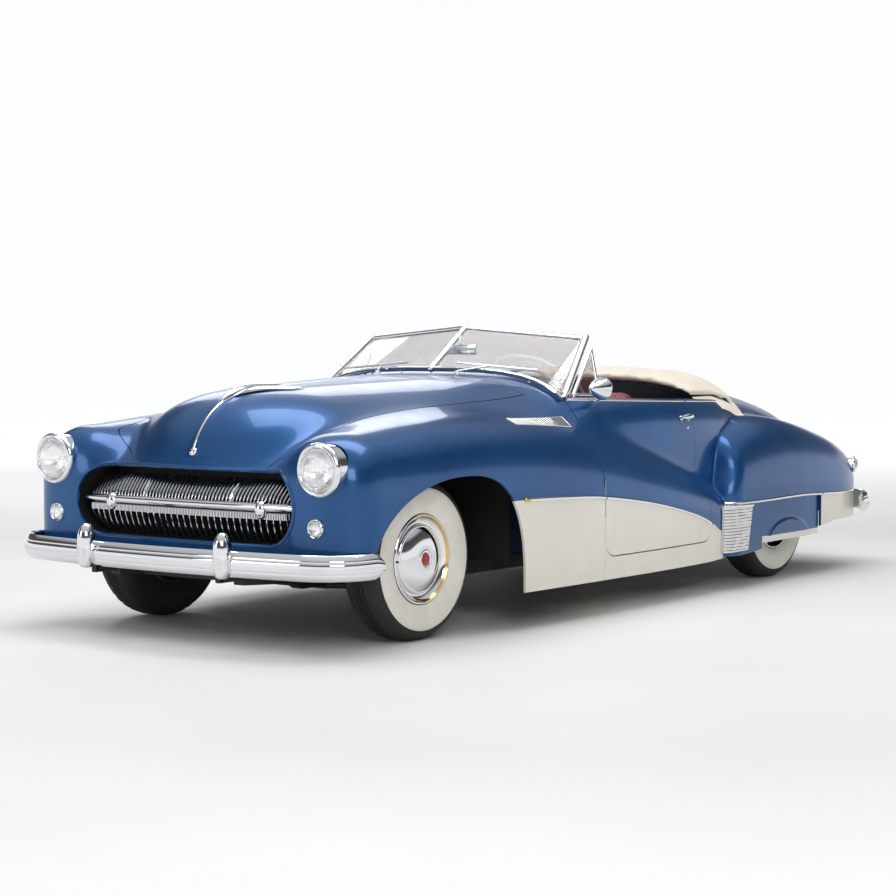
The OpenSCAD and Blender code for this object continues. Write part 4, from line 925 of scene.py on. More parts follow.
xs = x0 + (x1 - x0) * eased(44, 0.3)
low = door_low(xs) + GAP / 2
zs = low[:, None] + (belt(xs) - low)[:, None] * np.linspace(0, 1, 26)[None, :]
core = side(np.broadcast_to(xs[:, None], zs.shape), zs)
inner = core.copy()
inner[..., 0] += 62 * ((x0 - core[..., 0]) / (x0 - x1)) ** 3
inner[..., 1] = CABIN + GAP - 4
core[..., 1] -= 13
for s, tag in SIDES:
    k = across(s)
    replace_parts(shell("door_core_" + tag, core * k, inner * k, BLUE, "door_" + tag),
                "door_" + tag)

xs = np.linspace(DOOR_FRONT_X - 0.5, DOOR_REAR_X + 0.5, 60)
zs = SILL_Z + (door_low(xs) - GAP / 2 - SILL_Z)[:, None] * np.linspace(0, 1, 6)[None, :]
core = side(np.broadcast_to(xs[:, None], zs.shape), zs)
inner = core.copy()
inner[..., 1] = CABIN
core[..., 1] -= 14
for s, tag in SIDES:
    k = across(s)
    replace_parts(shell("sill_core_" + tag, core * k, inner * k, CREAM, "body"), "sills")

wall_x = HOOD_REAR_X - 40
ys = np.linspace(-686, 686, 60)
top = roof(np.full(len(ys), wall_x), ys)[:, 2] - 15
zs = 443.0 + (top - 443.0)[:, None] * np.linspace(0, 1, 16)[None, :]
wall = np.stack([np.full(zs.shape, wall_x + 12), np.broadcast_to(ys[:, None], zs.shape), zs], -1)
rib = 5.0 * smooth((np.cos(ys[:, None] / 60.0) - 0.1) * 3)
rib = rib * smooth((zs - 480) / 60) * smooth((top[:, None] - 60 - zs) / 60)
wall[..., 0] += rib
back = wall.copy()
back[..., 0] = wall_x
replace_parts(shell("firewall", wall, back, INNER, "body"), "cowl")
for s, tag in SIDES:
    ys2 = np.linspace(134, 672, 40)
    zs2 = np.linspace(303, 443, 12)
    foot = np.stack(np.broadcast_arrays(wall_x + 12.0, ys2[:, None] * s, zs2[None, :]), -1)
    back = foot.copy()
    back[..., 0] = wall_x
    shell("toe_board_" + tag, foot, back, INNER, "body")


# wheels and tyres

def wheel_set(tag, x, y):
    """Tyre with whitewall, disc, rim and valve of one wheel."""
    body = "wheel_" + tag
    s = 1.0 if y > 0 else -1.0
    at = (x, y, AXLE_Z)
    seg = 160
    side_out = [(196, 70), (204, 79), (206, 84.5), (218, 89), (236, 96), (256, 99.4), (280, 100),
                (304, 99.2), (316, 97.4), (318, 96.0), (320, 96.8), (330, 92.6), (338, 88), (346, 82)]
    side_out += [(352, 70), (362, 58)]
    ribs = []
    for a, b in ((44, 27), (21, 9), (3, -3), (-9, -21), (-27, -44)):
        ribs += [(365, a), (365, b), (356.5, b - 1.2), (356.5, b - 4.8)]
    prof = side_out + ribs[:-2] + [(q, -z) for q, z in reversed(side_out)]
    zones = []
    for (ra, ya), (rb, yb) in zip(prof, prof[1:]):
        zones.append(1 if 203.9 <= min(ra, rb) and max(ra, rb) <= 318.1 and ya > 0 and yb > 0 else 0)
    v, f, index = lathe(prof, seg, (0, 0, 0), "Y", s, zones)
    n = len(prof)
    v = v.reshape(seg, n, 3)
    zig = np.where((np.arange(seg) // 2) % 2 == 0, 2.2, -2.2)
    for k, (q, z) in enumerate(prof):
        if abs(z) < 40 and q > 350:
            v[:, k, 1] += zig
    notch = (np.arange(seg) % 4 < 1).astype(float) * 3.2
    for k, (q, z) in enumerate(prof):
        if 43 < abs(z) < 72 and q > 350:
            rad = np.hypot(v[:, k, 0], v[:, k, 2])
            v[:, k, 0] *= (rad - notch) / rad
            v[:, k, 2] *= (rad - notch) / rad
    tyre = add("tyre_" + tag + "_tread", v.reshape(-1, 3) + np.array(at), outward(f, s),
               [RUBBER, WHITEWALL], body, index)
    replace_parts(tyre, "tyre_" + tag)
    prof = [(196, 71), (200.5, 84), (198, 86.6), (194.5, 86.6), (192, 84), (186, 76), (178, 69), (170, 64),
            (164, 61.5), (160, 62), (158, 65), (156.5, 70), (154.5, 73.5), (150, 76), (146, 77),
            (143.5, 76), (140, 78.5), (128, 86), (112, 94), (92, 100.5), (70, 104), (50, 105.6),
            (46, 104.6), (43, 106.6), (37, 107.4), (33, 106.2), (31, 104), (29, 104.5), (24, 106.5),
            (14, 107.8), (5, 108), (0, 108)]
    zones = []
    for (ra, _), (rb, _) in zip(prof, prof[1:]):
        m = (ra + rb) / 2
        zones.append(1 if m > 195.5 else 3 if 186 < m <= 195.5 else 2 if m < 29.5 else 0)
    v, f, index = lathe(prof, 128, at, "Y", s, zones)
    add("wheel_" + tag + "_disc", v, outward(f, s), [CHROME, CHROME, ENAMEL, GOLD], body, index)
    back = [(196, 70), (196, -70), (203, -84), (196, -88), (186, -72), (180, -34), (168, 8), (150, 18),
            (100, 12), (62, 8), (60, -9), (22, -9), (22, 60)]
    v, f, _ = lathe(back, 96, at, "Y", s)
    rim = add("wheel_" + tag + "_rim", v, outward(f, s), STEEL, body)
    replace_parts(rim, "wheel_" + tag)
    stem = [(2.2, 0), (2.4, 10), (3.4, 12), (3.4, 24), (2.6, 27), (0, 27.5)]
    v, f, _ = lathe(stem, 16, (x + 176, y + s * 64, AXLE_Z), "Y", s)
    add("valve_" + tag, v, outward(f, s), SEAL, body)


for axle, x, half_track in (("front_", FX, 760.0), ("rear_", RX, 750.0)):
    for s, tag in SIDES:
        wheel_set(axle + tag, x, s * half_track)


# bumpers

def bumper_plan(half, run, n1=36, n2=22, n3=6):
    """Plan line of a bumper: a flat arc, round corners and short straight ends."""
    r1, r2, turn = 5200.0, 240.0, math.radians(82)
    a1 = math.asin((half - r2) / (r1 - r2))
    a = np.linspace(0, a1, n1)
    arc = np.stack([r1 * (np.cos(a) - 1), r1 * np.sin(a), a], -1)
    a = np.linspace(a1, turn, n2)[1:]
    corner = np.stack([(r1 - r2) * math.cos(a1) + r2 * np.cos(a) - r1,
                       (r1 - r2) * math.sin(a1) + r2 * np.sin(a), a], -1)
    t = np.linspace(0, run, n3)[1:]
    ends = corner[-1] + np.stack([-t * math.sin(turn), t * math.cos(turn), 0 * t], -1)
    left = np.vstack([arc, corner, ends])
    return np.vstack([left[:0:-1] * np.array([1, -1, -1]), left])


def bumper_bar(name, node, half, run, way):
    """Bumper bar with its two guards."""
    plan = bumper_plan(half, run)
    v_out = np.linspace(-54, 54, 27)
    face = [(math.sqrt(78 * 78 - q * q) - 56 - 2.6 * math.exp(-((q - 24) / 3.2) ** 2)
             - 2.6 * math.exp(-((q + 24) / 3.2) ** 2), q) for q in v_out]
    section = face + [(-3.0, 56.0), (-7.0, 50), (-8, 46), (-4, 30), (-3, 0), (-4, -30), (-8, -46),
                      (-7, -50), (-3.0, -56.0)]
    tip = LENGTH / 2 - 46
    rings = []
    k = len(plan)
    for i, (px, py, a) in enumerate(plan):
        near = min(i, k - 1 - i)
        thin = 1.0 if near > 2 else (0.55, 0.82, 0.95)[near]
        rings.append([(way * (tip + px + u * math.cos(a)), way * (py + u * math.sin(a)),
                       BUMPER_Z + q * thin) for u, q in section])
    n = len(section)
    v = np.array(rings).reshape(-1, 3)
    faces = [[i * n + (j + 1) % n, (i + 1) * n + (j + 1) % n, (i + 1) * n + j, i * n + j]
             for i in range(k - 1) for j in range(n)]
    faces += [list(range(n))[::-1], [(k - 1) * n + j for j in range(n)]]
    for s in (-1, 1):
        h = 100.0
        prof = [(0, -h), (18, -h), (26, -h + 3), (34, -h + 12), (40, -h + 30), (44, -h / 2),
                (46, -h / 2 + 26), (46, 6), (45, 26), (42, h / 2), (37, h - 36), (30, h - 20), (21, h - 8),
                (11, h - 2), (0, h)]
        y = way * s * GUARD_Y
        gv, gf, _ = lathe(prof, 56, (way * tip, y, BUMPER_Z + 36), "Z")
        gv[:, 1] = (gv[:, 1] - y) * (0.92 - 0.10 * (gv[:, 2] - BUMPER_Z) / 136) + y
        base = len(v)
        v = np.vstack([v, gv])
        faces += [[q + base for q in f] for f in gf]
    obj = add(name, v, faces, CHROME, "body")
    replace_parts(obj, node)
    return obj


def brick(name, lo, hi, mat, body, bevel=3.0, seg=3):
    """Rounded block between two corners."""
    bm = bmesh.new()
    bmesh.ops.create_cube(bm, size=1.0)
    lo, hi = np.minimum(lo, hi), np.maximum(lo, hi)
    for q in bm.verts:
        q.co = Vector([(lo[i] + hi[i]) / 2 + q.co[i] * (hi[i] - lo[i]) for i in range(3)])
    bmesh.ops.bevel(bm, geom=bm.edges[:], offset=bevel, segments=seg, profile=0.5, affect="EDGES")
    bm.verts.index_update()
    v = [tuple(q.co) for q in bm.verts]
    f = [[q.index for q in face.verts] for face in bm.faces]
    bm.free()
    return add(name, v, f, mat, body)


bumper_bar("front_bumper_bar", "front_bumper", 996.0, 85.0, 1)
bumper_bar("rear_bumper_bar", "rear_bumper", 978.0, 95.0, -1)
# irons of the bumpers: name, end of the car, two distances from that end, two heights
IRONS = (("front_bumper_arm_", 1, 189, 56, 300, 345), ("rear_bumper_arm_", -1, 212, 56, 250, 294),
         ("rear_bumper_plate_", -1, 74, 55, 250, 400), ("front_bumper_plate_", 1, 74, 55, 300, 400))
for s, tag in SIDES:
    for name, end, deep, near, low, high in IRONS:
        brick(name + tag, (end * (LENGTH / 2 - deep), s * 375 - 15, low),
              (end * (LENGTH / 2 - near), s * 375 + 15, high), BLACK, "body")


# lamps and grille

def turn(profile, seg, at, way, zones=None):
    """Turned form about any axis; profile gives (radius, along)."""
    way = np.asarray(way, float) / np.linalg.norm(way)
    a = np.cross(way, [0.0, 0.0, 1.0]) if abs(way[2]) < 0.9 else np.array([1.0, 0.0, 0.0])
    a = a / np.linalg.norm(a)
    b = np.cross(way, a)
    v, f, index = lathe(profile, seg, (0, 0, 0), "Z", 1.0, zones)
    v = np.asarray(at, float) + v[:, :1] * a + v[:, 1:2] * b + v[:, 2:3] * way
    return v, f, index


def turned(name, profile, seg, at, way, mat, body, zones=None, shape=None):
    """Turned piece, reshaped at the end where a shape is given."""
    v, f, index = turn(profile, seg, at, way, zones)
    if shape is not None:
        v = shape(v)
    return add(name, v, f, mat, body, index)


HEAD_X = NOSE_X + 450


def dome(r, foot, base, rise, n, start, ripple=0.0):
    """Profile of a lens: its foot, then a rounded cap that closes in the middle."""
    round_top = [(r * math.cos(t), base + rise * math.sin(t) + ripple * math.cos(t * 26))
                 for t in np.linspace(start, math.pi / 2, n)[:-1]]
    return [(r, foot)] + round_top + [(0, base + rise)]


def brow(v):
    """Headlamp bezel drawn forward over the top of its lens."""
    up = np.clip((v[:, 2] - HEAD_Z) / HEAD_R, 0, 1) ** 3
    front = np.clip((v[:, 0] - HEAD_X - 46) / 24, 0, 1)
    v[:, 0] += 15 * up * front
    return v


def flute(v):
    """Upright flutes on a headlamp lens, fading to its edge."""
    y = np.abs(v[:, 1]) - HEAD_Y
    v[:, 0] += 1.1 * np.abs(np.sin(y / 7.5)) * np.clip(1.1 - np.hypot(y, v[:, 2] - HEAD_Z) / 95, 0, 1)
    return v


for s, tag in SIDES:
    at = (HEAD_X, s * HEAD_Y, HEAD_Z)
    bezel = turned("headlamp_bezel_" + tag,
                   [(88, 40), (93, 58), (95, 66), (98, 70.5), (102, 72.6), (106, 72), (111, 69),
                    (115.5, 63), (118, 57), (118, 52), (116, 48), (110, 45), (109.5, -10), (88, -10)], 96,
                   at, (1, 0, 0), CHROME, "body", shape=brow)
    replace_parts(bezel, "headlamps")
    turned("headlamp_reflector_" + tag,
           [(92, 56), (86, 36), (72, 16), (50, 2), (24, -6), (10, -7), (0, -7)], 72, at, (1, 0, 0), MIRROR,
           "body")
    turned("headlamp_bulb_" + tag, [(0, 34), (7, 33), (12, 28), (14, 20), (12, 10), (9, 4), (9, -6),
                                    (0, -6)], 28, at, (1, 0, 0), LENS, "body")
    turned("headlamp_lens_" + tag, dome(94.5, 60, 64, 26, 22, 0.05), 120, at, (1, 0, 0), LENS, "body",
           shape=flute)
    at = (NOSE_X + 430, s * PARK_Y, PARK_Z)
    park = turned("parking_lamp_ring_" + tag,
                  [(33, 60), (34, 82), (36, 86), (39, 87), (42, 84), (43, 78), (43, 68), (42, 64), (42, 0)],
                  56, at, (1, 0, 0), CHROME, "body")
    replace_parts(park, "parking_lamps")
    turned("parking_lamp_lens_" + tag, dome(34.5, 80, 83, 15, 12, 0.1), 56, at, (1, 0, 0), LENS, "body")
    turned("parking_lamp_back_" + tag, [(34, 76), (20, 66), (0, 62)], 40, at, (1, 0, 0), MIRROR, "body")
    at = LAMP_AT * across(s)
    way = LAMP_DIR * across(s)
    ring = turned("tail_lamp_ring_" + tag,
                  [(33, -30), (34, 22), (36, 27), (40, 27), (44, 24), (46.5, 18), (46.5, 13), (43, 11),
                   (36.5, 9), (36.5, -40)], 56, at, way, CHROME, "body")
    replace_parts(ring, "tail_lamps")
    turned("tail_lamp_lens_" + tag, dome(34.5, 18, 24, 20, 30, 0.08, 0.8), 56, at, way, RED_LENS, "body")
    turned("tail_lamp_back_" + tag, [(34, 14), (18, 4), (0, 0)], 40, at, way, MIRROR, "body")

GRILLE_X = NOSE_X + 470
t = np.linspace(0, 2 * np.pi, 241)
r = GRILLE_H / 2 + 4
h = GRILLE_HALF + 4 - r
oval = np.stack([h * np.sign(np.cos(t)) + r * np.cos(t), GRILLE_Z + r * np.sin(t)], -1)
line = []
for q in range(len(t) - 1):
    a, b = oval[q], oval[q + 1]
    n = max(1, int(np.linalg.norm(b - a) / 14))
    line += [a + (b - a) * i / n for i in range(n)]
line = np.array(line + [oval[-1]])
rim = cast(np.stack([np.full(len(line), NOSE_X), line[:, 0], line[:, 1]], -1), [1.0, 0.0, 0.0], 0.0, 900.0)
strip("grille_lip", rim, normal(rim), 8.0, 6.0, BLUE, "body", base=-12.0, seg=10)
# near-black screen behind the grille bars: painted shade in the grille's recess
plate = np.stack(np.broadcast_arrays(GRILLE_X - 128.0, np.linspace(-640, 640, 40)[:, None],
                                     np.linspace(GRILLE_Z - 156, GRILLE_Z + 156, 16)[None, :]), -1)
rear = plate.copy()
rear[..., 0] -= 4
plate[..., 0] -= 60 * (plate[..., 1] / 640) ** 2
rear[..., 0] -= 60 * (rear[..., 1] / 640) ** 2
shell("grille_screen", plate, rear, SHADE_BLACK, "body")


def grille_x(y):
    """Front of the bowed grille."""
    return GRILLE_X + 14 - 26 * (np.abs(y) / 640) ** 2


def grille_edge(y):
    """Half height of the grille's opening."""
    return np.sqrt(np.maximum(159.0**2 - np.maximum(np.abs(y) - 496, 0) ** 2, 0))


def bars(name, paths, width, depth, mat):
    """Upright bars with a rounded front, each along its own line of points."""
    ring = [(0.5, -0.25), (0.5, 0.25), (0.2, 0.5), (-0.5, 0.5), (-0.5, -0.5), (0.2, -0.5)]
    v, f = [], []
    for path, w in zip(paths, width):
        base = len(v)
        for p in path:
            v += [(p[0] + a * depth, p[1] + b * w, p[2]) for a, b in ring]
        f += tube_faces(len(path), len(ring), base)
    return add(name, v, f, mat, "body")


t = np.linspace(0, 1, 9)
upper, wide = [], []
for i in range(61):
    y = lerp(-600.0, 600.0, i / 60)
    top = 0.80 * grille_edge(y) - 6
    if top < 34:
        continue
    upper.append(np.stack([grille_x(y) - 8 - 84 * t**1.6, y + 0.02 * y * t, GRILLE_Z + 14 + (top - 14) * t],
                          -1))
    wide.append(17.0 if i in (17, 43) else 7.5)
grille = bars("grille_upper_bars", upper, wide, 20.0, CHROME)
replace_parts(grille, "grille")
lower = []
for i in range(33):
    y = lerp(-590.0, 590.0, i / 32)
    low = grille_edge(y) - 9
    if low < 66:
        continue
    lower.append(np.stack([grille_x(y) - 6 - 46 * t**1.8, y - 0.015 * y * t,
                           GRILLE_Z - 44 - (low - 44) * t], -1))
bars("grille_lower_bars", lower, [8.0] * len(lower), 26.0, CHROME)
ys = np.linspace(-646, 646, 90)
sec = [(20, 0), (18.5, 8), (14, 14.5), (6, 18), (-14, 19), (-14, -19), (6, -18), (14, -14.5), (18.5, -8)]
v = np.array([[(grille_x(y) + a, y,
                GRILLE_Z + 4 + b * (1 if abs(y) < 560 else 1 - 0.5 * ((abs(y) - 560) / 86) ** 2))
               for a, b in sec] for y in ys])
add("grille_mid_bar", v.reshape(-1, 3), tube_faces(len(ys), len(sec)), CHROME, "body")
ys = np.arange(-592, 593, 9.0)
band = [np.stack([np.full(5, grille_x(y) + 2), np.full(5, y), GRILLE_Z + np.linspace(-20, -47, 5)], -1)
        for y in ys]
bars("grille_ribbed_band", band, [5.6] * len(band), 16.0, CHROME)
back = [np.stack([np.full(3, grille_x(y) - 6), np.full(3, y), GRILLE_Z + np.linspace(-19, -49, 3)], -1)
        for y in np.arange(-588, 589, 12.0)]
bars("grille_band_back", back, [12.2] * len(back), 6.0, STEEL)
for s, tag in reversed(SIDES):
    y = s * 452.0
    turned("grille_boss_" + tag,
           [(30, -26), (31, 4), (29, 16), (24, 26), (15, 33), (0, 36)], 40, (grille_x(y), y, GRILLE_Z - 8),
           (1, 0, 0), CHROME, "body",
           shape=lambda v, c=GRILLE_Z - 8: v * np.array([1, 1, 1.35]) - np.array([0, 0, 0.35 * c]))


# bright trim

def on_side(pts, n):
    """Smooth line on the car's left side through (x, z) points."""
    c = curve(pts, n)
    return side(c[:, 0], c[:, 1])


def ordered(p, s):
    """Rows of a line in the order that makes a strip face out on side s."""
    return p if s > 0 else p[::-1]


def side_strip(name, pts, n, half, high, mat, body):
    """Bright strip on both sides of the car; with the body "door", each rides on its own door."""
    p = on_side(pts, n)
    half, high = np.broadcast_to(half, (n,)), np.broadcast_to(high, (n,))
    for s, tag in SIDES:
        q = ordered(p * across(s), s)
        strip(name + "_" + tag, q, normal(q), ordered(half, s), ordered(high, s), mat,
              "door_" + tag if body == "door" else body)


def line_part(table, x_from, x_to, n):
    """Points (x, z) of a side line between two places."""
    x = np.linspace(x_from, x_to, n)
    return np.stack([x, line_z(table, x)], -1)


side_strip("spear_fender", line_part(SPEAR, 1196, 556, 60), 120, 10.0, 8.0, CHROME, "body")
side_strip("spear_stub", line_part(SPEAR, 1226, 1190, 6), 16, np.array([4, 7, 9, 10] + [11] * 12, float),
           9.5, GOLD, "body")
side_strip("spear_door", line_part(SPEAR, 544, -524, 90), 180, 10.0 - 3.0 * np.linspace(0, 1, 180),
           8.0 - 2 * np.linspace(0, 1, 180), CHROME, "door")
side_strip("spear_quarter", line_part(SPEAR, -536, -632, 20), 40, np.linspace(7, 2, 40),
           np.linspace(6, 2, 40), CHROME, "body")
side_strip("skirt_strip", line_part(TAIL_LINE, -742, -1776, 80), 160, 8.0, 7.0, CHROME, "body")
side_strip("tail_strip", line_part(TAIL_LINE, -1800, -2330, 50), 100, 8.0, 7.0, CHROME, "body")
for name, x_from, x_to, n, body in (("belt_strip_door", 542, -522, 60, "door"),
                                    ("belt_strip_quarter", -538, -1000, 40, "body")):
    x = np.linspace(x_from, x_to, n)
    side_strip(name, np.stack([x, belt(x) - 9], -1), 2 * n, 9.0, 6.0, CHROME, body)

# ribbed stone guards round the front of the rear fenders
uu, vv = np.meshgrid(eased(48, -0.35), np.linspace(0, 1, 117), indexing="ij")
gx = lerp(lerp(-652.0, -664.0, vv), lerp(-886.0, -930.0, vv), uu)
gz = lerp(lerp(204.0, 212.0, uu), lerp(446.0, 440.0, uu), vv)
guard = side(gx, gz)
bow = 1003.0 - 78.0 * np.maximum(0, (gx + 765) / 112) ** 2.1
rib = 2.6 * np.abs(np.sin(np.pi * (gz - 204) / 16.5)) ** 0.6
guard[..., 1] = np.maximum(guard[..., 1] + 3.0, bow) + rib
rear = guard.copy()
rear[..., 1] -= 12.0
rear[..., 0] -= 3.0 * (1 - uu)
for s, tag in SIDES:
    k = across(s)
    shell("stone_guard_" + tag, guard * k, rear * k, RIBBED, "body")
    top = np.stack([gx[:, -1], guard[:, -1, 1] + 1.0, gz[:, -1] + 9], -1)
    out = np.zeros_like(top)
    d = np.gradient(top, axis=0)
    out[:, 0], out[:, 1] = -d[:, 1], d[:, 0]
    out /= np.linalg.norm(out, axis=1, keepdims=True)
    out *= np.sign(out[:, 1:2] + 1e-9)
    strip("stone_guard_band_" + tag, ordered(top * k, s), ordered(out * k, s), 9.0, 6.0, CHROME, "body",
          base=-9.0)

# hood strip with its foot, spear and two wings
a = np.linspace(57.0, 21.0, 70)
p = roof(np.full(70, NOSE_X), np.zeros(70), a)
strip("hood_strip", p, normal(p), np.linspace(7, 10, 70), 11.0, CHROME, "hood", base=-2.0)
foot = roof(NOSE_X, 0.0, 55.5)
n = normal(foot)
turned("hood_strip_foot", [(0, 13), (8, 12), (16, 8.5), (21, 3), (22, -4), (0, -4)], 40, foot, n, CHROME,
       "hood")
x = np.linspace(2172, 1690, 80)
p = roof(x, np.zeros(80))
t = np.linspace(0, 1, 80)
strip("hood_spear", p, normal(p), 4 + 24 * np.sin(np.pi * t**0.6) ** 1.2 * (1 - 0.5 * t),
      4 + 30 * np.sin(np.pi * t**0.5) ** 1.1 * (1 - 0.45 * t), CHROME, "hood", base=-7.0, seg=14)
for s, tag in SIDES:
    uu = np.linspace(0, 1, 26)[:, None]
    ww = np.linspace(0, 1, 15)[None, :]
    wx = lerp(lerp(2125.0, 1905.0, uu**0.9), lerp(1900.0, 1800.0, uu), ww)
    wy = s * (10 + 185 * uu) + 0 * ww
    base = roof(wx, wy)
    up = normal(base)
    thick = 5.0 * np.sin(np.pi * np.clip(ww, 0.02, 0.98)) ** 0.6 * (1 - 0.6 * uu)
    lift = 9.0 * (1 - 0.45 * uu)
    shell("hood_wing_" + tag, base + up * (lift + thick)[..., None],
          base + up * (lift - thick * 0.6)[..., None], CHROME, "hood")

# louvred vents beside the cowl
uu, vv = np.meshgrid(np.linspace(0, 1, 60), np.linspace(0, 1, 10), indexing="ij")
vx = lerp(1120.0, 660.0, uu) - 18 * (vv - 0.5)
vy = lerp(842.0, 886.0, vv)
bed = roof(vx, vy)
for s, tag in SIDES:
    k = across(s)
    # near-black bed under the louvres: painted shade between them
    panel("vent_bed_" + tag, bed * k, None, "body", [SHADE_BLACK] * 3, lift=1.6, back=2.0, roll=0.4)
    loop = np.vstack([bed[:, 0], bed[-1, 1:], bed[-2::-1, -1], bed[0, -2::-1]]) * k
    strip("vent_frame_" + tag, loop, normal(loop), 2.2, 4.0, CHROME, "body", seg=6)
    v, f = [], []
    for i in range(19):
        xa = lerp(1102.0, 670.0, i / 18.0)
        q = np.linspace(0.04, 0.96, 9)
        path = roof(xa - 30 * (q - 0.5), lerp(842.0, 886.0, q)) * k
        up = normal(path)
        ring = [path + up * 1.2 + np.array([5.0, 0, 0]), path + up * 2.6 + np.array([4.0, 0, 0]),
                path + up * 3.0 - np.array([4.0, 0, 0]), path + up * 1.2 - np.array([5.0, 0, 0])]
        base = len(v)
        n = 4
        for j in range(9):
            v += [ring[m][j] for m in range(4)]
        for j in range(8):
            f += [[base + j * n + m, base + (j + 1) * n + m, base + (j + 1) * n + (m + 1) % n,
                   base + j * n + (m + 1) % n] for m in range(n)]
        f += [[base + m for m in range(n)], [base + 8 * n + m for m in range(n)][::-1]]
    add("vent_louvres_" + tag, v, outward(f, s), CHROME, "body")

# door handles
for s, tag in SIDES:
    x = np.linspace(-372, -506, 40)
    p = side(x, np.full(40, 930.0)) * across(s)
    nn = normal(p)
    t = np.linspace(0, 1, 40)
    body = p + nn * (20 + 9 * np.sin(np.pi * t))[:, None]
    bulge = np.sin(np.pi * np.clip(t, 0.03, 0.97)) ** 0.7
    strip("door_handle_" + tag, ordered(body, s), ordered(nn, s), ordered(3 + 12 * bulge, s),
          ordered(3 + 8 * bulge, s), CHROME, "door_" + tag, base=-6.0, seg=12)
    for q, m in ((8, 11.0), (31, 13.0)):
        turned("door_handle_post_%s_%d" % (tag, q),
               [(m + 4, -2), (m + 4, 3), (m, 6), (m - 3, 12), (m - 4, 26), (0, 26)], 30, p[q], nn[q],
               CHROME, "door_" + tag)
    at = side(-455.0, 880.0) * across(s)
    turned("door_lock_" + tag, [(9, -1), (9, 2), (7, 3.5), (0, 3.8)], 24, at, normal(at), CHROME,
           "door_" + tag)

# trunk handle, plate and plate bracket
at = roof(TAIL_X, 0.0, -70.0)
turned("trunk_handle", [(30, -2), (30, 4), (24, 9), (12, 12), (10, 24), (15, 30), (12, 36), (0, 38)], 40,
       at, normal(at), CHROME, "trunk_lid")
at = roof(TAIL_X, 0.0, -56.0)
n = normal(at)
e = np.array([0.0, 1.0, 0.0])
w = np.cross(n, e)
uu, vv = np.meshgrid(np.linspace(-1, 1, 25), np.linspace(-1, 1, 13), indexing="ij")
edge = np.clip((np.maximum(np.abs(uu), np.abs(vv)) - 0.88) / 0.06, 0, 1)
flat = at + n * 16 + uu[..., None] * 155 * e + vv[..., None] * 70 * w
shell("plate_blank", flat + n * (2.5 * edge)[..., None], flat - n * 3, PLATE, "trunk_lid")
shell("plate_bracket", flat - n * 4.0, flat - n * 12, BLACK, "trunk_lid")


# interior

def ring_curve(points, n):
    """Smooth closed line through points."""
    p = np.asarray(points, float)
    k = len(p)
    t = np.linspace(0, k, n, endpoint=False)
    i = t.astype(int)
    f = (t - i)[:, None]
    a, b, c, d = p[(i - 1) % k], p[i % k], p[(i + 1) % k], p[(i + 2) % k]
    return cubic(a, b, c, d, f)


def bolster(profile, half, n=64, m=40, dome=60.0):
    """Closed pad: a side outline carried across the car, drawn in at both ends."""
    ring = ring_curve(profile, n)
    mid = ring.mean(0)
    ys = half * np.sin(np.linspace(-np.pi / 2, np.pi / 2, m))
    rows = []
    for y in ys:
        e = max(0.0, (abs(y) - (half - dome)) / dome)
        k = 1 - 0.30 * e**2.4
        rows.append([(mid[0] + (q[0] - mid[0]) * k, y, mid[1] + (q[1] - mid[1]) * k) for q in ring])
    return np.array(rows).reshape(-1, 3), tube_faces(m, n)


PADS = []


def pad(name, v, f, mat, node, slot, voxel, limit, fill, sew):
    """Soft pad: remeshed now, swollen by cloth simulation and sewn afterwards with the others."""
    mesh = bpy.data.meshes.new(name + "_form")
    mesh.from_pydata((np.asarray(v) / 1000).tolist(), [], f)
    form = bpy.data.objects.new(name + "_form", mesh)
    scene.collection.objects.link(form)
    cut = form.modifiers.new("remesh", "REMESH")
    cut.mode, cut.voxel_size = "VOXEL", voxel
    bpy.context.view_layer.update()
    skin = bpy.data.meshes.new_from_object(form.evaluated_get(bpy.context.evaluated_depsgraph_get()))
    bpy.data.objects.remove(form)
    bpy.data.meshes.remove(mesh)
    skin.name = name
    obj = bpy.data.objects.new(name, skin)
    scene.collection.objects.link(obj)
    PADS.append((obj, mat, node, slot, limit, fill, sew))


def vertex_rows(mesh, what):
    """Places ("co") or directions ("normal") of a mesh's vertices."""
    q = np.empty(len(mesh.vertices) * 3)
    mesh.vertices.foreach_get(what, q)
    return q.reshape(-1, 3)


def swell():
    """Run the cloth of all pads together, cap the movement, subdivide once and sew the channels."""
    for obj, *_ in PADS:
        c = obj.modifiers.new("cloth", "CLOTH")
        c.settings.quality = 4
        c.settings.mass = 0.3
        c.settings.use_pressure = True
        c.settings.uniform_pressure_force = 4.0
        c.settings.effector_weights.gravity = 0.0
        c.collision_settings.use_collision = False
        c.point_cache.frame_start, c.point_cache.frame_end = 1, 20
    for f in range(1, 21):
        scene.frame_set(f)
    graph = bpy.context.evaluated_depsgraph_get()
    for obj, mat, node, slot, limit, fill, sew in PADS:
        rest = vertex_rows(obj.data, "co")
        now = vertex_rows(obj.evaluated_get(graph).data, "co")
        move = now - rest
        size = np.linalg.norm(move, axis=1, keepdims=True)
        move *= np.minimum(1.0, limit / np.maximum(size, 1e-9))
        obj.modifiers.clear()
        obj.data.vertices.foreach_set("co", (rest + move).ravel())
        obj.data.update()
    scene.frame_set(1)
    for obj, mat, node, slot, limit, fill, sew in PADS:
        sub = obj.modifiers.new("smooth", "SUBSURF")
        sub.levels = sub.render_levels = 1
        bpy.context.view_layer.update()
        fine = bpy.data.meshes.new_from_object(obj.evaluated_get(bpy.context.evaluated_depsgraph_get()))
        obj.modifiers.clear()
        old = obj.data
        obj.data = fine
        name = old.name
        bpy.data.meshes.remove(old)
        fine.name = name
        p, n = vertex_rows(fine, "co"), vertex_rows(fine, "normal")
        fine.vertices.foreach_set("co", (p + n * sew(p * 1000, n)[:, None] / 1000).ravel())
        fine.polygons.foreach_set("use_smooth", np.full(len(fine.polygons), True))
        fine.materials.clear()
        fine.materials.append(mat)
        fine.update()
        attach(obj, "body")
        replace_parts(obj, node)


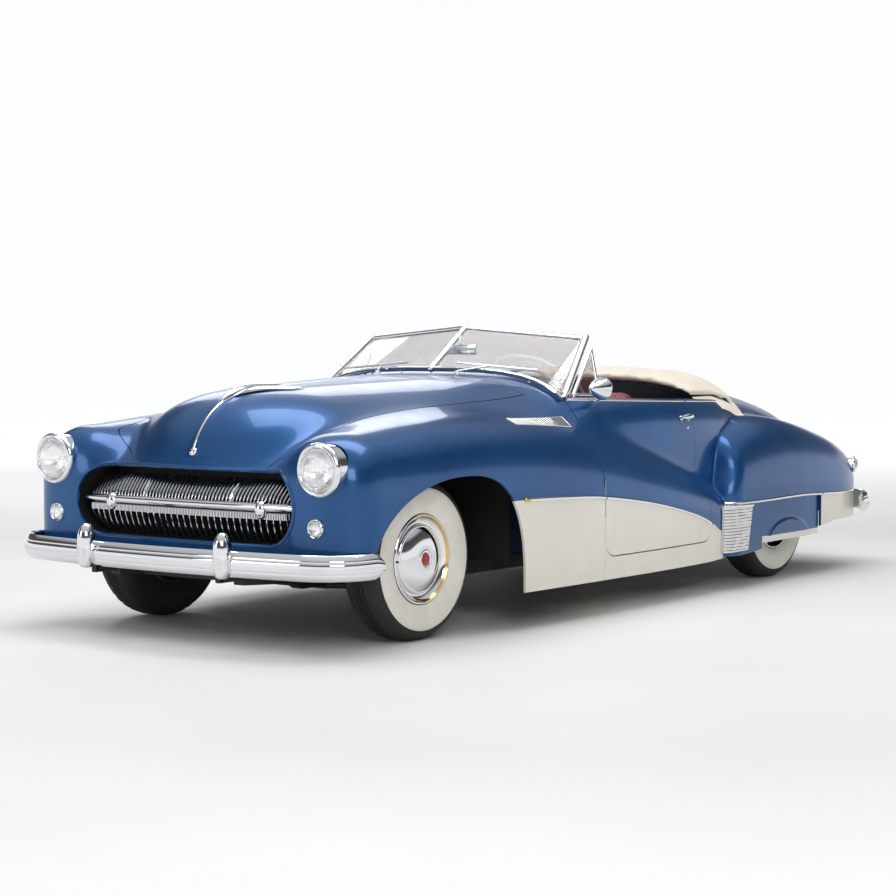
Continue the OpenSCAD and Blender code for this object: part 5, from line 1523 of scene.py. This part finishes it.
def channels(axis, half, pitch, border, deep=9.0, line=7.0):
    """Sewn pleats across the middle of a pad, with a plain border and a seam round it."""
    def sew(p, n):
        y = p[:, 1]
        face = smooth((n[:, axis] - 0.25) / 0.35)
        d = np.abs((y / pitch + 0.5) % 1.0 - 0.5) * pitch
        inside = smooth((half - border - np.abs(y)) / 16)
        groove = -deep * np.exp(-(d / line) ** 2) * inside * face
        edge = -deep * np.exp(-((np.abs(y) - (half - border)) / line) ** 2) * face
        return np.minimum(groove, edge)
    return sew


FRONT_CUSHION = [(-190, 440), (-196, 560), (-182, 630), (-120, 652), (0, 658), (140, 664), (192, 648),
                 (214, 600), (214, 500), (196, 444)]
FRONT_BACK = [(-322, 556), (-346, 640), (-384, 800), (-418, 975), (-412, 1046), (-364, 1072), (-312, 1046),
              (-291, 975), (-246, 800), (-206, 690), (-204, 600), (-226, 556)]
REAR_CUSHION = [(-846, 556), (-848, 700), (-820, 760), (-740, 770), (-650, 776), (-612, 756), (-598, 710),
                (-598, 600), (-614, 558)]
REAR_BACK = [(-900, 706), (-976, 760), (-998, 880), (-994, 950), (-956, 976), (-914, 956), (-888, 880),
             (-856, 780), (-862, 706)]
# seat pads: seat, pad, outline, half width, sewn side (0 is forward, 2 is up), most swelling, plain border
for chair, part, outline, half, axis, limit, border in (
        ("front_seat", "_cushion", FRONT_CUSHION, 622, 2, 0.022, 96),
        ("front_seat", "_back", FRONT_BACK, 622, 0, 0.018, 96),
        ("rear_seat", "_cushion", REAR_CUSHION, 592, 2, 0.020, 90),
        ("rear_seat", "_back", REAR_BACK, 592, 0, 0.016, 90)):
    pad(chair + part, *bolster(outline, half), LEATHER, chair, "leather_red", 0.021, limit, 0.75,
        channels(axis, half, 74.0, border))

# cover over the folded top: a flat soft pad with a draped edge lying on the deck
reach = side(DECK_X, belt(DECK_X))[1] + 4
ys = np.linspace(-reach, reach, 61)
vs = np.linspace(0, 1, 33)
k = np.abs(ys) / reach
front = DECK_X + 262 - 26 * k**2
tail = DECK_X - 366 + 140 * k**4
bx = front[:, None] + (tail - front)[:, None] * vs[None, :]
by = np.broadcast_to(ys[:, None], bx.shape)
floor_z = roof(np.minimum(bx, DECK_X), by)[..., 2] + 6 + 7 * k[:, None] ** 4
rise = (56 * (1 - 0.45 * k**5))[:, None]
crown = (0.22 + 0.78 * np.sin(np.pi * lerp(0.08, 0.96, vs)) ** 0.55)[None, :] * rise
crown = crown + 5.0 * np.sin(by / 62.0 + bx / 160.0) * np.sin(np.pi * vs)[None, :]
up = np.stack([bx, by, floor_z + crown], -1)
low = np.stack([bx, by, floor_z + 2], -1)
m, n = bx.shape
v = np.concatenate([up.reshape(-1, 3), low.reshape(-1, 3)])
o = np.arange(m * n).reshape(m, n)
q = o + m * n
f = []
for i in range(m - 1):
    for j in range(n - 1):
        f.append([o[i, j], o[i, j + 1], o[i + 1, j + 1], o[i + 1, j]])
        f.append([q[i, j], q[i + 1, j], q[i + 1, j + 1], q[i, j + 1]])
for i in range(m - 1):
    f.append([o[i, 0], o[i + 1, 0], q[i + 1, 0], q[i, 0]])
    f.append([o[i + 1, -1], o[i, -1], q[i, -1], q[i + 1, -1]])
for j in range(n - 1):
    f.append([o[0, j + 1], o[0, j], q[0, j], q[0, j + 1]])
    f.append([o[-1, j], o[-1, j + 1], q[-1, j + 1], q[-1, j]])


def boot_seams(p, n):
    """Three sewn seams and the pull of the cloth at the cover's front."""
    y = p[:, 1]
    face = smooth((n[:, 2] - 0.2) / 0.4)
    seam = np.zeros(len(p))
    for c in (-470.0, 0.0, 470.0):
        seam = np.minimum(seam, -3.2 * np.exp(-((y - c) / 5.0) ** 2))
    pull = 2.4 * np.sin(y / 21.0 + 1.6 * np.sin(p[:, 0] / 90.0)) * smooth((p[:, 0] - (DECK_X + 90)) / 120)
    return (seam + pull) * face


pad("top_boot_cover", v, f, CANVAS, "top_boot", "boot_fabric", 0.0195, 0.010, 0.45, boot_seams)
swell()

# edge of the cover lying on the body, with a scalloped hem
turns = np.linspace(-1, 1, 241)
yy = reach * np.clip(turns * 1.28, -1, 1)
kk = np.abs(yy) / reach
along = np.clip((np.abs(turns) - 0.78) / 0.22, 0, 1)
rx = np.where(along > 0, lerp(DECK_X - 226, DECK_X + 205, along), DECK_X - 366 + 140 * kk**4)
path = np.stack([rx, yy], -1)
tang = np.gradient(path, axis=0)
tang /= np.maximum(np.linalg.norm(tang, axis=1, keepdims=True), 1e-9)
outw = np.stack([-np.abs(tang[:, 1]), np.sign(yy) * np.abs(tang[:, 0])], -1)
for _ in range(14):
    outw[1:-1] = (outw[:-2] + outw[1:-1] + outw[2:]) / 3
outw /= np.linalg.norm(outw, axis=1, keepdims=True)
width = 46 + 10 * np.abs(np.sin(np.arange(241) / 240 * np.pi * 13))
rows = []
for w in np.linspace(-0.5, 1, 10):
    q = path + outw * (width * w)[:, None]
    base = roof(np.minimum(q[:, 0], DECK_X - 4), q[:, 1])
    base[:, 0] = q[:, 0]
    nn = normal(np.stack([np.minimum(base[:, 0], DECK_X - 4), base[:, 1], base[:, 2]], -1))
    rows.append(base + nn * (5.5 - 2.5 * max(0, w)))
hem = np.stack(rows, 1)
under = hem - np.array([0.0, 0.0, 2.2])
edge = shell("top_boot_hem", hem, under, CANVAS, "body")
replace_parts(edge, "top_boot")

# seat bases
for s, tag in SIDES:
    for chair, x_rear, x_front, y_out, z_top in (("front_seat", -288, 178, 618, 446),
                                                 ("rear_seat", -768, -602, 578, 562)):
        base = brick(chair + "_base_" + tag, (x_rear, s * 142, 303), (x_front, s * y_out, z_top), CARPET,
                     "body", 12.0, 4)
        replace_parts(base, chair)


# pleated trims on the doors and beside the rear seat
def pleated(name, xa, xb, za, zb, y_in, y_out, s, body, pitch=58.0):
    """Trim panel with upright pleats and a plain upper band."""
    xs = np.linspace(xa, xb, 150)
    zs = np.linspace(0, 1, 28)
    zz = za + (np.broadcast_to(zb(xs) if callable(zb) else zb, xs.shape) - za)[:, None] * zs[None, :]
    xx = np.broadcast_to(xs[:, None], zz.shape)
    d = np.abs((xx / pitch) % 1.0 - 0.5) * pitch
    band = smooth((zs - 0.06) / 0.06) * smooth((0.74 - zs) / 0.05)
    puff = 7.0 * (1 - np.exp(-(d / 8.0) ** 2)) * band[None, :] + 5.0 * smooth((zs - 0.76) / 0.05)[None, :]
    rimfade = smooth((xs - min(xa, xb)) / 22) * smooth((max(xa, xb) - xs) / 22)
    puff = puff * rimfade[:, None] * smooth((1 - zs) / 0.04)[None, :] * smooth(zs / 0.04)[None, :]
    inner_face = np.stack([xx, s * (y_in - puff), zz], -1)
    back = np.stack([xx, np.full_like(xx, s * y_out), zz], -1)
    return shell(name, inner_face, back, LEATHER, body)


for s, tag in SIDES:
    trim = pleated("door_trim_" + tag, DOOR_REAR_X + 78, DOOR_FRONT_X - 150, 392.0, lambda x: belt(x) - 34,
                   700.0, 703.2, s, "door_" + tag)
    trim = pleated("side_trim_" + tag, DECK_X + 22, DOOR_REAR_X - 72, 304.0, 940.0, 682.0, 699.0, s, "body")
    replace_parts(trim, "side_trims")
    brick("door_armrest_" + tag, (-330, s * 664, 712), (40, s * 698, 764), LEATHER, "door_" + tag,
          15.0, 5)
    at = (250.0, s * 699.0, 800.0)
    turned("door_crank_boss_" + tag, [(26, -2), (26, -6), (20, -10), (10, -12), (0, -13)], 28, at,
           (0, s, 0), CHROME, "door_" + tag)
    brick("door_crank_" + tag, (244, s * 684, 700), (256, s * 690, 802), CHROME, "door_" + tag,
          2.5, 3)
    turned("door_crank_knob_" + tag, [(10, -6), (12, -14), (11, -26), (6, -31), (0, -32)], 24,
           (250.0, s * 694.0, 706.0), (0, s, 0), IVORY, "door_" + tag)

# fitted carpet over the floor and tunnel
ys = np.concatenate([np.linspace(-672, -150, 20), np.linspace(-146, -116, 12), np.linspace(-112, 112, 16),
                     np.linspace(116, 146, 12), np.linspace(150, 672, 20)])
zs = 303.6 + 120.0 * smooth((150 - np.abs(ys)) / 26)
xs = np.linspace(722, -752, 36)
mat_top = np.stack(np.broadcast_arrays(xs[:, None], ys, zs + 3.5), -1)
carpet = shell("floor_carpet", mat_top, mat_top - np.array([0, 0, 2.5]), CARPET, "body")

# dashboard dials, speaker grille, glove lid and bright strip
for y, r in ((262.0, 64.0), (498.0, 64.0), (-20.0, 40.0)):
    at = (380.0, y, 905.0)
    name = "dial_%d" % int(abs(y))
    turned(name + "_bezel", [(r + 7, -1), (r + 7, 7), (r + 3, 12), (r - 2, 10), (r - 3, 4)], 56, at,
           (-1, 0, 0), CHROME, "body")
    turned(name + "_face", [(r - 2, 3), (r - 8, 3.4), (r * 0.5, 3.6), (0, 3.8)], 56, at, (-1, 0, 0), IVORY,
           "body")
    v, f = [], []
    for i in range(25):
        a = math.radians(-130 + 260 * i / 24)
        w, a0, a1 = (1.4, 0.70, 0.88) if i % 4 == 0 else (0.8, 0.78, 0.88)
        c, sn = math.sin(a), math.cos(a)
        base = len(v)
        for q, e in ((a0, -w), (a0, w), (a1, w), (a1, -w)):
            v.append((375.4, y - (q * r * c + e * sn), 905 + q * r * sn - e * c))
        v += [(376.4, p[1], p[2]) for p in v[base:base + 4]]
        f += [[base, base + 1, base + 2, base + 3], [base + 7, base + 6, base + 5, base + 4]]
        f += [[base + m, base + 4 + m, base + 4 + (m + 1) % 4, base + (m + 1) % 4] for m in range(4)]
    add(name + "_marks", v, f, BLACK, "body", flat=True)
    brick(name + "_needle", (373.0, y - 1.2, 905), (374.6, y + 1.2, 905 + r * 0.8), ENAMEL, "body",
          0.4, 2)
    turned(name + "_glass", [(r - 3, 9), (r - 20, 10.5), (0, 11)], 48, at, (-1, 0, 0), GLASS, "body")
for i in range(15):
    y = -60 - 14.0 * i
    brick("speaker_bar_%02d" % i, (372, y - 4, 812), (381, y + 4, 960), CHROME, "body", 2.0, 2)
brick("glove_lid", (374, -630, 820), (381, -330, 950), BLUE, "body", 3.0, 3)
turned("glove_knob", [(12, -2), (12, 6), (15, 14), (9, 20), (0, 21)], 30, (374.0, -480.0, 936.0),
       (-1, 0, 0), CHROME, "body")
brick("dash_strip", (371, -664, 782), (381, 664, 794), CHROME, "body", 3.0, 3)

# horn ring and hub of the steering wheel
lean = math.radians(62)
up_axis = np.array([-math.sin(lean), 0.0, math.cos(lean)])
hub = np.array([DOOR_FRONT_X - 335, 380.0, 1012.0])
a = np.linspace(0, 2 * np.pi, 13)
turned("horn_ring", [(118 + 4.5 * math.cos(q), 6 + 4.5 * math.sin(q)) for q in a], 72, hub, up_axis, CHROME,
       "steering_wheel")
turned("horn_button", [(34, 13), (33, 18), (28, 23), (22, 25), (21, 24), (16, 26.5), (0, 28)], 48, hub,
       up_axis, CHROME, "steering_wheel")
for s, tag in reversed(SIDES):
    arm = [hub + up_axis * 10 + np.array([0, s * w, 0]) for w in np.linspace(28, 118, 8)]
    strip("horn_arm_" + tag, np.array(arm), np.broadcast_to(up_axis, (8, 3)),
          np.linspace(9, 4, 8), 4.0, CHROME, "steering_wheel", base=-4.0)

# vent panes and inside mirror
for s, tag in SIDES:
    x0v = DOOR_FRONT_X - 95
    x1v = x0v - 232
    a = np.array([x0v, 768.0, belt(x0v) + 12])
    b = np.array([x1v, 768.0, belt(x1v) + 12])
    c = np.array([x1v - 22, 706.0, belt(x1v) + 242])
    mid = (a + b + c) / 3
    tri = [mid + (q - mid) * 0.965 for q in (a, b, c)]
    uu = np.linspace(0, 1, 7)
    pane = np.array([[lerp(lerp(tri[0], tri[1], i), tri[2], j * 0.985) for j in uu]
                     for i in uu]) * across(s)
    shell("vent_pane_" + tag, pane + np.array([0, s * 2.2, 0]), pane - np.array([0, s * 2.2, 0]), GLASS,
          "door_" + tag)
brick("inside_mirror", (402, -52, 1262), (424, 152, 1316), CHROME, "body", 9.0, 4)
brick("inside_mirror_stem", (414, 44, 1310), (424, 56, 1392), CHROME, "body", 3.0, 3)

# inner walls of the front wheel wells, real walls in near-black that paints the shade inside the wells
for s, tag in SIDES:
    brick("wheel_well_" + tag, (1176, s * 446, 320), (2180, s * 452, 862), SHADE_BLACK, "body", 2.0, 2)
    brick("wheel_well_rear_" + tag, (1150, s * 446, 300), (1156, s * 880, 800), SHADE_BLACK, "body",
          2.0, 2)

# aprons over the front wheels, from the inner walls to the fenders, their near-black painting the shade under
# the fenders
apron_x = np.linspace(1190.0, 2150.0, 40)
apron_out = side(apron_x, np.full(40, 803.0))[:, 1] - 24
apron_y = lerp(447.0, apron_out[:, None], np.linspace(0, 1, 8)[None, :])
apron = np.stack([np.broadcast_to(apron_x[:, None], apron_y.shape), apron_y, np.full(apron_y.shape, 806.0)],
                 -1)
for s, tag in SIDES:
    k = across(s)
    shell("wheel_apron_" + tag, apron * k, (apron - np.array([0, 0, 6.0])) * k, SHADE_BLACK, "body")

# box behind the grille opening, near-black to paint the shade in the recess
t = np.linspace(0, 2 * np.pi, 97)
box_y = 499 * np.tanh(np.cos(t) * 8) + 158 * np.cos(t)
box_z = GRILLE_Z + 158 * np.sin(t)
mouth = cast(np.stack([np.full(97, NOSE_X), box_y, box_z], -1), [1.0, 0.0, 0.0], 0.0, 900.0)
depth = np.linspace(0, 1, 8)
tube = np.stack([lerp(mouth[:, 0][:, None] - 15, GRILLE_X - 200.0, depth[None, :]),
                 np.broadcast_to(box_y[:, None] * 1.012, (97, 8)),
                 np.broadcast_to(GRILLE_Z + (box_z - GRILLE_Z)[:, None] * 1.02, (97, 8))], -1)
shell("grille_box", tube, tube * np.array([1, 1.006, 1.006]) - np.array([0, 0, 0.006 * GRILLE_Z]), SHADE_BLACK,
      "body")


# carried-over solids

dress(BLACK, "frame_rails", "cross_members", "floor_pan", "front_suspension", "rear_axle", "fuel_tank")
dress(STEEL, "knuckle_left", "knuckle_right", "hinge_pins")
dress(IRON, "engine")
dress(RUST, "exhaust")
dress(CHROME, "windshield_frame", "mirror_left", "wipers", "vent_window_left", "vent_window_right")
dress(GLASS, "windshield_glass")
dress(BLUE, "dashboard")
dress(IVORY, "steering_wheel", "steering_column")


# floor, light and camera

FLOOR_HALF = 60
floor = bpy.data.meshes.new("floor")
floor.from_pydata([(-FLOOR_HALF, -FLOOR_HALF, 0), (FLOOR_HALF, -FLOOR_HALF, 0),
                   (FLOOR_HALF, FLOOR_HALF, 0), (-FLOOR_HALF, FLOOR_HALF, 0)], [], [(0, 1, 2, 3)])
floor_mat = Mat("floor_pale", (0.80, 0.80, 0.79), 0.6)
floor_mat.color(floor_mat.ramp(floor_mat.noise(0.7, 5.0),
                               [(0.3, (0.78, 0.78, 0.77)), (0.7, (0.82, 0.82, 0.81))]))
floor_mat.bump(floor_mat.noise(60.0, 3.0), 0.02, 0.001)
# the floor glows towards its far edge, so that no horizon line shows
FLOOR_GLOW, GLOW_FROM, GLOW_TO = 0.62, 4.5, 13.0
reach = floor_mat.node("ShaderNodeVectorMath", Vector=floor_mat.at)
reach.operation = "LENGTH"
floor_mat.b.inputs["Emission Color"].default_value = (0.93, 0.945, 0.96, 1)
floor_mat.put(floor_mat.b.inputs["Emission Strength"],
              floor_mat.map(reach.outputs["Value"], 0.0, FLOOR_GLOW, GLOW_FROM, GLOW_TO))
floor.materials.append(floor_mat.m)
ground = bpy.data.objects.new("floor", floor)
scene.collection.objects.link(ground)

world = scene.world or bpy.data.worlds.new("studio")
scene.world = world
world.use_nodes = True
tree = world.node_tree
sky = tree.nodes["Background"]
way = tree.nodes.new("ShaderNodeTexCoord")
split = tree.nodes.new("ShaderNodeSeparateXYZ")
tree.links.new(way.outputs["Generated"], split.inputs[0])
bands = tree.nodes.new("ShaderNodeValToRGB")
tree.links.new(split.outputs["Z"], bands.inputs["Fac"])
stops = bands.color_ramp.elements
# brightness of the studio from the horizon (0) to straight up (1)
SKY_TONES = ((0.0, 1.0), (0.15, 1.0), (0.21, 0.10), (0.46, 0.07), (0.58, 0.5), (1.0, 0.8))
for i, (at, tone) in enumerate(SKY_TONES):
    if i > 1:
        stops.new(at)
    stops[i].position = at
    stops[i].color = (tone * 0.97, tone * 0.985, tone, 1)
tree.links.new(bands.outputs["Color"], sky.inputs["Color"])
sky.inputs["Strength"].default_value = 1.0


def softbox(name, at, aim, size, power, color=(1, 1, 1)):
    """Area light aimed at a point."""
    light = bpy.data.lights.new(name, "AREA")
    light.shape = "RECTANGLE"
    light.size, light.size_y = size
    light.energy = power
    light.color = color
    obj = bpy.data.objects.new(name, light)
    obj.location = at
    obj.rotation_euler = (Vector(aim) - Vector(at)).to_track_quat("-Z", "Y").to_euler()
    scene.collection.objects.link(obj)
    return obj


softbox("top", (0.6, 0.4, 6.5), (0, 0, 0.4), (7, 3.4), 300)
softbox("key", (7.0, 7.5, 5.0), (0.6, 0.4, 0.6), (4, 3), 210, (1.0, 0.97, 0.93))
softbox("front", (9.5, -3.5, 3.6), (1.5, 0, 0.6), (3, 3), 90)
softbox("far", (-5.5, -6.5, 5.0), (-0.5, 0, 0.7), (5, 3), 140, (0.95, 0.97, 1.0))

# the photo's camera: place in metres, turn and tilt in degrees, focal length and sensor in millimetres
CAMERA_AT = (9.519, 6.769, 1.347)
CAMERA_TURN, CAMERA_TILT = 216.76, -2.86
FOCAL, SENSOR = 88.44, 36.0
cam = bpy.data.cameras.new("photo_view")
cam.sensor_width, cam.lens = SENSOR, FOCAL
cam.clip_end = 200
view = bpy.data.objects.new("photo_view", cam)
view.location = CAMERA_AT
yaw, pitch = math.radians(CAMERA_TURN), math.radians(CAMERA_TILT)
gaze = Vector((math.cos(pitch) * math.cos(yaw), math.cos(pitch) * math.sin(yaw), math.sin(pitch)))
view.rotation_euler = gaze.to_track_quat("-Z", "Y").to_euler()
scene.collection.objects.link(view)
scene.camera = view
scene.view_settings.view_transform = "Standard"
